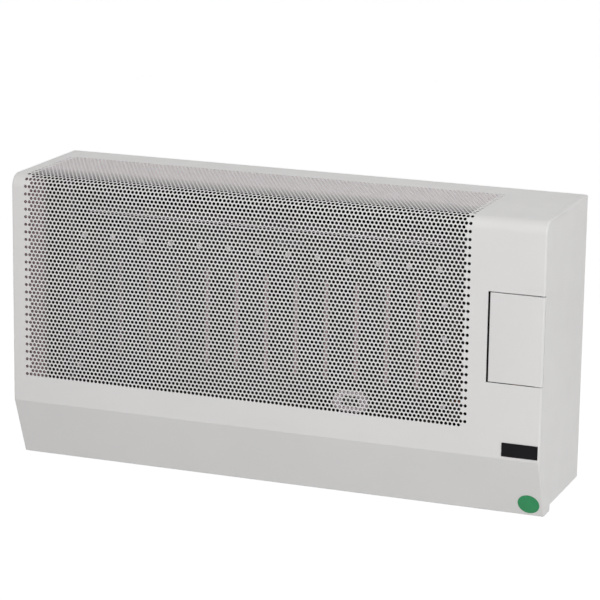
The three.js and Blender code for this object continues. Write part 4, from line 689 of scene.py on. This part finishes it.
TAB_X = HALF_WIDTH - TAB_WIDTH - FIT  # where the top sheet makes room for the side panels' tabs
ragged = []  # the plain ends of the staggered rows
for row in range(ROW_COUNT):
    start = ZONE_LEFT if row % 2 else ZONE_RIGHT - 3 * HALF_PITCH
    low = ZONE_LOW + row * ROW_PITCH
    ragged.append((start, start + 3 * HALF_PITCH, low, low + ROW_PITCH))
sheet_patch(ragged + [
    (-EDGE, EDGE, 0.0, ZONE_LOW),
    (-EDGE, ZONE_LEFT, ZONE_LOW, TAB_S),
    (ZONE_RIGHT, OPENING_LEFT, ZONE_LOW, ZONE_HIGH),
    (OPENING_LEFT, EDGE, ZONE_LOW, DOOR_S[0]),
    (OPENING_LEFT, EDGE, DOOR_S[1], TAB_S),
    (-TAB_X, ZONE_LEFT, TAB_S, ZONE_HIGH),
    (OPENING_LEFT, TAB_X, TAB_S, ZONE_HIGH),
    (-TAB_X, TAB_X, ZONE_HIGH, CASING.length),
], "front_sheet")


# ---- The folds where the front sheet turns onto the sides ----
def quarter_bend():
    """A bend's section with the sheet's thickness: how far out and how deep each of its points lies."""
    found = []
    for radius, depth, steps in ((CORNER_RADIUS, 0.0, range(FOLD_STEPS + 1)),
                                 (CORNER_RADIUS - SHEET, SHEET, range(FOLD_STEPS, -1, -1))):
        for k in steps:
            t = math.pi / 2 * k / FOLD_STEPS
            found.append((EDGE + radius * math.sin(t), depth + radius * (1 - math.cos(t))))
    return found


def fold(name, side, low, high):
    """A rounded edge of the sheet from one distance to another, turning onto the casing's side."""
    rows = []
    for s in CASING.between(low, high):
        point, normal = CASING.at(s)
        rows.append([(side * x, *(point - normal * depth)) for x, depth in quarter_bend()])
    piece(name, [loft(rows)], WHITE, "front_top_panel")


fold("fold_left", -1, 0.0, TAB_S)
fold("fold_right_lower", 1, 0.0, DOOR_S[0])
fold("fold_right_upper", 1, DOOR_S[1], TAB_S)


# ---- Side panels ----
def inset_line(high, depth):
    """The sheet's line up to a distance, a depth further in, with a sharp corner at the lip."""
    found = [point - normal * depth for point, normal in map(CASING.at, CASING.between(0.0, high))]
    lip = Vector((-DEPTH + SLANT_SETBACK, BOTTOM))
    slant = (Vector((-DEPTH, CREASE_Z)) - lip).normalized()
    normals = Vector((0, -1)), Vector((-slant.y, slant.x))
    corner = lip - (normals[0] + normals[1]) / (1 + normals[0].dot(normals[1])) * depth
    near = [k for k, point in enumerate(found) if (point - corner).length < 2 * depth]
    return [tuple(p) for p in found[:near[0]] + [corner] + found[near[-1] + 1:]]


def side_panel(side, node):
    bottom, shoulder = BOTTOM + SIDE_LIFT, TOP - CORNER_RADIUS
    line = inset_line(TAB_S, CORNER_RADIUS + FIT)
    rest = [(TAB_FRONT, line[-1][1]), (TAB_FRONT, shoulder), (JOGGLE[0], shoulder), (JOGGLE[0], bottom),
            (line[0][0], bottom)]
    if side > 0:
        # The corner is open beside the control door, where the door's rolled edge turns.
        upright, back = -DEPTH + CORNER_RADIUS + FIT, -DEPTH + 2 * HINGE_ROLL + FIT
        opening = [(upright, OPENING_LOW), (back, OPENING_LOW), (back, OPENING_HIGH), (upright, OPENING_HIGH)]
        line = [p for p in line if p[1] < OPENING_LOW] + opening + [p for p in line if p[1] > OPENING_HIGH]
    zones = [line + rest]
    for start, end in ((JOGGLE[0], JOGGLE[1]), (JOGGLE[1], -WALL_GAP)):
        zones.append([(start, bottom), (start, shoulder), (end, shoulder), (end, bottom)])
    parts = []
    for level, outline in enumerate(zones):
        outer = HALF_WIDTH - level * JOGGLE_STEP
        parts.append(across_x(outline, *sorted((side * (outer - SHEET), side * outer))))
    made = piece(f"{node}_skin", parts, WHITE, node)
    # The inner faces take the side lining, with its painted shade towards the wall.
    second_material(made, SHADED_SIDE_INNER, lambda face: face.normal.x * side < -0.5)
    inner = HALF_WIDTH - TAB_WIDTH
    section = [(inner, 0.0)] + quarter_bend() + [(inner, SHEET)]
    rows = [[(side * x, y, TOP - depth) for x, depth in section] for y in (TAB_FRONT, -WALL_GAP)]
    piece(f"{node}_tab", [loft(rows)], WHITE, node)


side_panel(-1, "left_side_panel")
side_panel(1, "right_side_panel")


# ---- Control door ----
def control_door():
    soft, back = DOOR_BEND, -DEPTH + DOOR_RETURN
    roll = arc_points(HINGE, HINGE_ROLL, 270, 540, 26)
    rim_end = HINGE[0] - 8 * MM
    across = [(DOOR_LEFT, back)] + arc_points((DOOR_LEFT + soft, -DEPTH + soft), soft, 180, 270, 5) + roll
    parts = [across_z(thick_line(across), DOOR_LOW + soft, DOOR_HIGH - soft)]
    # Above and below, the face turns into its returns; the rolled edge runs on to the full height.
    for edge, way in ((DOOR_HIGH, 1), (DOOR_LOW, -1)):
        quarters = [math.pi / 2 * k / 5 for k in range(6)]
        line = [(-DEPTH + soft * (1 - math.cos(t)), edge - way * soft * (1 - math.sin(t))) for t in quarters]
        line.append((back, edge))
        parts.append(across_x(thick_line(line[::-way]), DOOR_LEFT + soft, rim_end))
        rolled = thick_line([(rim_end, -DEPTH)] + roll)
        parts.append(across_z(rolled, *sorted((edge, edge - way * soft))))
        # A small rounded corner joins the return to the folded left edge.
        corner = [(DOOR_LEFT, back), (DOOR_LEFT, -DEPTH + soft),
                  (DOOR_LEFT + soft * 0.3, -DEPTH + soft * 0.3),
                  (DOOR_LEFT + soft, -DEPTH), (DOOR_LEFT + soft, back)]
        parts.append(across_z(corner, *sorted((edge - way * soft * 0.15, edge - way * soft))))
    piece("control_door_skin", parts, WHITE, "control_door", "door")


control_door()


# ---- Bare badge plate and plain sticker ----
def badge():
    low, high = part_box("name_plate")
    width, thickness, height = high - low
    # A narrow pressed border runs round the sunk face.
    layers = [(rounded_outline(width - trim * MM, height - trim * MM, radius * MM), thickness * rise)
              for trim, radius, rise in ((0, 1, 0), (0, 1, 0.6), (0.5, 0.9, 0.9), (1, 0.8, 1), (2.4, 0.6, 1),
                                         (2.9, 0.5, 0.75))]
    centre = (low + high) / 2
    part = layers_part(layers, (centre.x, high.y, centre.z))
    piece("badge_plate", [part], LABEL_BLACK, "name_plate", angle=30)


def sticker():
    low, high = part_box("round_sticker")
    lean = math.atan2(SLANT_SETBACK, CREASE_Z - BOTTOM)
    thickness = 0.4
    layers = rings([(17, 0), (17, thickness * 0.5), (16.8, thickness * 0.9), (16.4, thickness)], 72)
    back = Vector((0, math.cos(lean), math.sin(lean))) * (thickness * MM / 2)
    part = layers_part(layers, (low + high) / 2 + back, lean)
    piece("green_sticker", [part], LABEL_GREEN, "round_sticker", angle=30)


badge()
sticker()


# ---- The exchanger's cover behind the perforation ----
def cover_lines():
    """Grid lines of the cover, close together where its shape turns."""
    steps = [math.cos(math.pi * k / 8) * RIB_HALF for k in range(9)]
    edge = [v * MM for v in (0, 0.6, 1.2, 1.8, 2.4, 3, 5, 8, 12, 18)]
    xs = [r + d for r in RIBS for d in steps] + [r + RIB_PITCH / 2 for r in RIBS[:-1]]
    ends = [RIB_HALF - d for d in steps[:5]]
    zs = [RIB_ENDS[0] + d for d in ends] + [RIB_ENDS[1] - d for d in ends]
    zs += list(np.linspace(-40 * MM, 96 * MM, 12))
    for values, axis in ((xs, 0), (zs, 1)):
        values += [way * (FIELD_HALF[axis] - d) for way in (-1, 1) for d in edge]
        values += [-COVER_HALF[axis], COVER_HALF[axis], SIGHT[axis] - WINDOW, SIGHT[axis] + WINDOW]
    return [np.array(sorted(set(round(v, 7) for v in values))) for values in (xs, zs)]


def cover_height(x, z):
    """How far the pressed sheet stands out of its flange."""
    ax, az = (np.abs(v) - half + FIELD_CORNER for v, half in zip((x, z), FIELD_HALF))
    outside = np.hypot(np.maximum(ax, 0), np.maximum(az, 0)) + np.minimum(np.maximum(ax, az), 0)
    rise = np.clip((FIELD_CORNER - outside) / PRESS, 0, 1)
    field = rise * rise * (3 - 2 * rise) * FIELD_RISE
    low, high = RIB_ENDS[0] + RIB_HALF, RIB_ENDS[1] - RIB_HALF
    nearest = np.min([np.hypot(x - r, z - np.clip(z, low, high)) for r in RIBS], axis=0)
    return field + RIB_RISE * np.sqrt(np.clip(1 - (nearest / RIB_HALF) ** 2, 0, 1))


def exchanger_cover():
    xs, zs = cover_lines()
    gx, gz = np.meshgrid(xs, zs, indexing="ij")
    rows = len(zs)
    front = np.stack([gx, COVER_FRONT - cover_height(gx, gz), gz], -1).reshape(-1, 3)
    points = np.concatenate([front, front + (0, COVER_SHEET, 0)]) + np.array(CENTRE)
    total = len(front)

    def solid(i, j):
        if not (0 <= i < len(xs) - 1 and 0 <= j < rows - 1):
            return False
        x, z = (xs[i] + xs[i + 1]) / 2 - SIGHT[0], (zs[j] + zs[j + 1]) / 2 - SIGHT[1]
        return not (abs(x) < WINDOW and abs(z) < WINDOW)

    faces = []
    for i, j in ((i, j) for i in range(len(xs) - 1) for j in range(rows - 1) if solid(i, j)):
        a, b, c, d = i * rows + j, (i + 1) * rows + j, (i + 1) * rows + j + 1, i * rows + j + 1
        faces += [(a, b, c, d), (a + total, d + total, c + total, b + total)]
        for beside, p, q in (((i, j - 1), a, b), ((i + 1, j), b, c), ((i, j + 1), c, d), ((i - 1, j), d, a)):
            if not solid(*beside):
                faces.append((q, p, p + total, q + total))
    part = (points.tolist(), faces)
    piece("exchanger_cover_pressing", [part], HIGHLIT_RIB_ENAMEL, "exchanger_front_cover")


def flange_screws():
    x, z = COVER_HALF[0] - SCREW_INSET, COVER_HALF[1] - SCREW_INSET
    places = [((i - RIB_COUNT / 2) * RIB_PITCH, way * z) for i in range(RIB_COUNT + 1) for way in (-1, 1)]
    places += [(way * x, -z + 2 * z * i / SCREWS_UP) for i in range(1, SCREWS_UP) for way in (-1, 1)]
    head = rings([(4.5, 0), (4.5, 0.5), (4.3, 0.7)])
    head += [(hexagon(4 * MM), 0.7 * MM), (hexagon(4 * MM), 2.7 * MM)] + rings([(3.3, 3.2)])
    parts = [layers_part(head, CENTRE + Vector((px, COVER_FRONT, pz))) for px, pz in places]
    piece("flange_screw_heads", parts, BRIGHT, "exchanger_front_cover")


def sight_frame():
    """A cast ring with a raised, rounded rim and a burnt face round a square window."""
    def stadium(inset):
        width, height = (size - 2 * inset for size in FRAME_SIZE)
        return even_outline(rounded_outline(width, height, FRAME_CORNER - inset, 18))

    def window(half):
        return even_outline(rounded_outline(2 * half, 2 * half, WINDOW_CORNER))

    place = CENTRE + Vector((SIGHT[0], SIGHT_Y, SIGHT[1]))
    burnt_x, burnt_z = BURNT_HALF
    layers = [(stadium(inset * MM), height * MM) for inset, height in (
        (0, 0), (0, 4.4), (0.5, 5.5), (1.5, 6), (3.6, 6), (4.6, 5.4), (5, 4))]
    layers.append((even_outline(rounded_outline(2 * burnt_x, 2 * burnt_z, 4 * MM, 8)), 4 * MM))
    layers += [(window(half), height * MM) for half, height in (
        (WINDOW + 0.6 * MM, 4), (WINDOW, 3.4), (WINDOW, 3.2), (10.2 * MM, 3.2), (10.2 * MM, 0))]
    made = piece("sight_frame_casting", [layers_part(layers, place, 0.0, True)], RIM_PAINT_AND_REFLECTION, "sight_glass_frame",
                 angle=30)

    def is_burnt(face):
        away = face.center - place
        return away.y > -5 * MM and abs(away.x) < burnt_x and abs(away.z) < burnt_z

    second_material(made, HEAT_STEEL, is_burnt)


exchanger_cover()
flange_screws()
sight_frame()


# ---- Controls behind the door ----
CONTROL = Vector((393 * MM, -170 * MM, 0))
KNOB_BACK = CONTROL + Vector((0, -10.5 * MM, 76 * MM))
BUTTON_BACK = CONTROL + Vector((0, 6.5 * MM, 8 * MM))
KNOB_SIDES = 144
GRIP_ANGLE = math.pi / 6
GRIP_HALF = 2.7 * MM
GRIP_DEPTH = 1.2 * MM


def knob():
    layers = rings([(23.6, 0), (24, 0.4), (24, 3.1), (23.6, 3.6), (22.5, 3.9)], KNOB_SIDES)
    for radius, height, dip in ((22.4, 4.6, 0), (22.4, 5.4, 0.7), (22.4, 6.4, 1), (22.4, 17.8, 1),
                                (22, 18.9, 0.9), (21.3, 19.6, 0.6), (20.3, 19.95, 0.2), (19.4, 20, 0)):
        layers.append((fluted(radius * MM, GRIP_DEPTH * dip), height * MM))
    layers += rings([(12, 19.75), (3, 19.6)], KNOB_SIDES)
    piece("knob_body", [layers_part(layers, KNOB_BACK)], BLACK, "control_knob", "knob", 30)
    mark = [(rounded_outline(width * MM, length * MM, radius * MM), height * MM)
            for width, length, radius, height in ((2, 8.4, 0.9, 0), (2, 8.4, 0.9, 0.5), (1.7, 8.1, 0.8, 0.6))]
    part = layers_part(mark, KNOB_BACK + Vector((0, -19.4 * MM, 14.6 * MM)))
    piece("knob_mark", [part], WHITE, "control_knob", "knob", 30)


def button():
    layers = rings([(5.6, 0), (5.6, 19.6), (5.35, 20.4), (4.8, 20.8), (3.6, 21), (1.6, 20.7)], 40)
    part = layers_part(layers, BUTTON_BACK)
    piece("button_body", [part], RED, "igniter_button", "piezo_button", 30)


knob()
button()


# ---- Pipes and leads ----
def smooth_route(points, steps=14):
    """A centripetal curve through the points of a route."""
    p = [Vector(q) for q in points]
    p = [2 * p[0] - p[1]] + p + [2 * p[-1] - p[-2]]
    found = []
    for i in range(1, len(p) - 2):
        ts = [0.0]
        for a, b in zip(p[i - 1:i + 2], p[i:i + 3]):
            ts.append(ts[-1] + max(1e-6, (b - a).length) ** 0.5)
        for k in range(steps):
            t = ts[1] + (ts[2] - ts[1]) * k / steps
            level = p[i - 1:i + 3]
            for low, high in ((ts[:3], ts[1:]), (ts[:2], ts[2:]), (ts[1:2], ts[2:3])):
                level = [(a * (end - t) + b * (t - start)) / (end - start)
                         for a, b, start, end in zip(level, level[1:], low, high)]
            found.append(level[0])
    return found + [p[-2]]


def tube(line, radius, sides=18):
    """A round tube along a line, or a turned piece where radius lists one per point."""
    radii = radius if isinstance(radius, list) else [radius] * len(line)
    rows = []
    side = (line[1] - line[0]).normalized().orthogonal()
    for i, point in enumerate(line):
        way = (line[min(i + 1, len(line) - 1)] - line[max(i - 1, 0)]).normalized()
        side = (side - way * side.dot(way)).normalized()
        other = way.cross(side)
        turns = [2 * math.pi * k / sides for k in range(sides)]
        rows.append([point + (side * math.cos(t) + other * math.sin(t)) * radii[i] for t in turns])
    return loft(rows)


LEAD_Z = -143.6 * MM
PLATE_TOP, PLATE_BOTTOM = -124.1 * MM, -125.6 * MM
PORT_Z = 51.2 * MM
PILOT_Y = 14 * MM
VALVE_UNDER = 44.7 * MM  # where the pipes enter the valve


def lead_route(x, start, end, row):
    """From under the pilot plate down, along the cover's lower edge and up to its end."""
    drop = start - LEAD_Z
    return [(x, PILOT_Y, start), (x, PILOT_Y, start - drop * 0.5),
            (x + drop * 0.6, (PILOT_Y + row) / 2, LEAD_Z), (x + 0.04, row, LEAD_Z),
            (end[0] - 0.04, row, LEAD_Z), (end[0] - 0.01, (row + end[1]) / 2, LEAD_Z + 0.006),
            (end[0], end[1], LEAD_Z + 0.03), (end[0], end[1], end[2] - 0.012), end]


def from_centre(points):
    return [Vector(p) + CENTRE for p in points]


def copper(name, node, *parts):
    piece(name, parts, COPPER, node)


def pilot_leads():
    """The three leads of the pilot, whose places count from the middle of the exchanger's flange."""
    pilot = lead_route(0.164, PLATE_TOP, (0.4185, -0.002, PORT_Z), 0.012)
    copper("pilot_tube_bent", "pilot_tube", tube(smooth_route(from_centre(pilot)), 2 * MM))
    couple = lead_route(0.179, PLATE_BOTTOM, (0.4285, 0.010, PORT_Z), 0.021)
    probe = from_centre([(0.179, PILOT_Y, z) for z in (-0.1316, -0.1310, -0.0690, -0.0672, -0.0660)])
    copper("thermocouple_lead", "thermocouple", tube(smooth_route(from_centre(couple)), 1.4 * MM),
           tube(probe, [2.1 * MM, 2.6 * MM, 2.6 * MM, 2.1 * MM, 1.2 * MM]))
    end = (0.4405, 0.028, 0.0145)
    x, y, z = end
    loop = y + 0.024
    lead = lead_route(0.149, -0.1339, end, 0.03)[:5]
    lead += [(x - 0.014, loop - 0.006, LEAD_Z + 0.01), (x - 0.002, loop, z - 0.06), (x, loop, z - 0.018),
             (x, y + 0.014, z - 0.002), (x, y + 0.006, z), end]
    part = tube(smooth_route(from_centre(lead)), 2.6 * MM)
    piece("ignition_lead_sleeved", [part], RED, "ignition_lead")


def pipes():
    x, y = 0.373, -0.132
    port_x, port_y, port_z = 0.2663, -0.108, -0.0865  # where the burner's pipe meets the chamber
    feed = [(x, y, VALVE_UNDER), (x, y, VALVE_UNDER - 0.04), (x, y, port_z + 0.034),
            (x - 0.008, y + 0.004, port_z + 0.01), (x - 0.03, port_y - 0.004, port_z),
            (port_x + 0.04, port_y, port_z), (port_x, port_y, port_z)]
    copper("burner_pipe_bent", "burner_pipe", tube(smooth_route(feed), 5 * MM, 24))
    x, y = 0.421, -0.144
    bulb_end, bulb_y, bulb_z = 0.2603, -0.05, -0.19
    thin = [(bulb_end, bulb_y, bulb_z), (bulb_end + 0.03, bulb_y, bulb_z),
            (x - 0.04, bulb_y - 0.006, bulb_z + 0.004), (x, bulb_y - 0.035, bulb_z + 0.04),
            (x + 0.001, -0.124, bulb_z + 0.09), (x, y, bulb_z + 0.15),
            (x, y, VALVE_UNDER - 0.03), (x, y, VALVE_UNDER)]
    copper("capillary_drawn", "thermostat_capillary", tube(smooth_route(thin), 1 * MM, 12))
    bulb = [Vector((x, bulb_y, bulb_z)) for x in (0.18, 0.1808, 0.183, 0.257, 0.2586, 0.26)]
    copper("bulb_drawn", "thermostat_bulb",
           tube(bulb, [2 * MM, 3.3 * MM, 4 * MM, 4 * MM, 3.1 * MM, 1.5 * MM], 28))
    inlet = [Vector((0.405, -0.124, z)) for z in (-0.213, -0.2126, 0.0443, VALVE_UNDER)]
    copper("inlet_pipe_drawn", "gas_inlet_pipe", tube(inlet, [7.2 * MM, 7.5 * MM, 7.5 * MM, 7.2 * MM], 40))


pilot_leads()
pipes()

# ---- Broken edges on the solids that stay as they are ----
for name in ("hinge_bracket_upper hinge_bracket_lower control_bracket casing_bracket_left "
             "casing_bracket_right igniter_nut inlet_union_nut magnet_catch gas_valve_body").split():
    bevel = NODES[name].modifiers.new("edge", "BEVEL")
    bevel.width = 0.25 * MM
    bevel.segments = 2
    bevel.limit_method = "ANGLE"
    bevel.angle_limit = math.radians(32)
    bevel.harden_normals = False


# ---- Camera, as the photo's perspective gives it ----
CAMERA_PLACE = (1.4942, -4.0110, 1.0672)
CAMERA_FORWARD = Vector((-0.34596, 0.9077, -0.23746))
CAMERA_UP = Vector((-0.09751, 0.21693, 0.97131))
SENSOR_WIDTH, FOCAL_LENGTH = 36, 164.16  # millimetres


def place_camera():
    data = bpy.data.cameras.new("camera")
    camera = linked("camera", data)
    forward = CAMERA_FORWARD.normalized()
    right = forward.cross(CAMERA_UP).normalized()
    turn = Matrix((right, right.cross(forward), -forward)).transposed()
    camera.matrix_world = Matrix.Translation(CAMERA_PLACE) @ turn.to_4x4()
    data.sensor_width, data.lens = SENSOR_WIDTH, FOCAL_LENGTH
    data.clip_start, data.clip_end = 0.1, 60
    bpy.context.scene.camera = camera


# ---- Studio ----
FLOOR_Z = BOTTOM - 0.55
FLOOR_HALF = 14
FLOOR_GLOW = 0.68
WORLD_LIGHT = 0.45
LAMPS = (
    # name, place, target, width and height, watts, colour
    ("key", (1.75, -2.3, 1.3), (0.2, 0, 0), (1.4, 1.4), 23, (1, 1, 0.99)),
    ("side", (3.4, -0.9, 0.5), (0.4, -0.1, 0), (1.6, 2.2), 12.5, (1, 1, 1)),
    ("fill", (-2.8, -3.2, 1.2), (0, 0, 0), (2.4, 2.4), 18.5, (1, 0.97, 0.99)),
    ("front", (1.53, -4.10, 1.09), (0, 0, 0), (0.3, 0.3), 17, (1, 1, 1)),
    ("strip", (0.2, -1.3, 2.3), (0, -0.2, 0.1), (2.6, 0.12), 4, (1, 1, 1)),
)


def seen_directly(tree):
    """1 for rays from the camera, from mirrors and through glass, and 0 for all other light."""
    rays = add_node(tree, "ShaderNodeLightPath").outputs
    total = rays["Is Camera Ray"]
    for kind in ("Is Glossy Ray", "Is Transmission Ray"):
        total = add_node(tree, "ShaderNodeMath", {0: total, 1: rays[kind]}, operation="MAXIMUM").outputs[0]
    return total


def mixed(tree, factor, first, second, output):
    mix = add_node(tree, "ShaderNodeMixShader", {"Fac": factor, 1: first, 2: second})
    connect(tree, output, {"Surface": mix.outputs[0]})


def studio():
    scene = bpy.context.scene
    scene.view_settings.view_transform = "Standard"
    world = bpy.data.worlds.new("studio")
    world.use_nodes = True
    scene.world = world
    tree = world.node_tree
    tree.nodes.clear()
    lights = [add_node(tree, "ShaderNodeBackground", {"Color": (1, 1, 1, 1), "Strength": strength}).outputs[0]
              for strength in (WORLD_LIGHT, 1.0)]
    mixed(tree, seen_directly(tree), *lights, add_node(tree, "ShaderNodeOutputWorld"))
    for name, place, target, size, power, color in LAMPS:
        data = bpy.data.lights.new(name, "AREA")
        data.shape = "RECTANGLE"
        data.size, data.size_y = size
        data.energy = power
        data.color = color
        lamp = linked(name, data)
        lamp.location = place
        lamp.rotation_euler = (Vector(target) - Vector(place)).to_track_quat("-Z", "Y").to_euler()
    add_floor()


def add_floor():
    """A pale floor that the camera sees brighter, so that only the object's shadow shows on it."""
    n = Nodes("pale_floor")
    pale = n.mix(n.wander(3, 2, 0, 1), (0.6, 0.6, 0.6, 1), (0.58, 0.58, 0.58, 1))
    n.finish(pale, n.wander(5, 2, 0.75, 0.85))
    glow = n.node("ShaderNodeEmission", {"Strength": FLOOR_GLOW})
    add = n.node("ShaderNodeAddShader", {0: n.shader.outputs[0], 1: glow.outputs[0]})
    mixed(n.tree, seen_directly(n.tree), n.shader.outputs[0], add.outputs[0], n.output)
    data = bpy.data.meshes.new("floor")
    corners = [(x * FLOOR_HALF, y * FLOOR_HALF, FLOOR_Z) for x, y in ((-1, -1), (1, -1), (1, 1), (-1, 1))]
    data.from_pydata(corners, [], [(0, 1, 2, 3)])
    data.materials.append(n.material)
    return linked("floor", data)


place_camera()
studio()
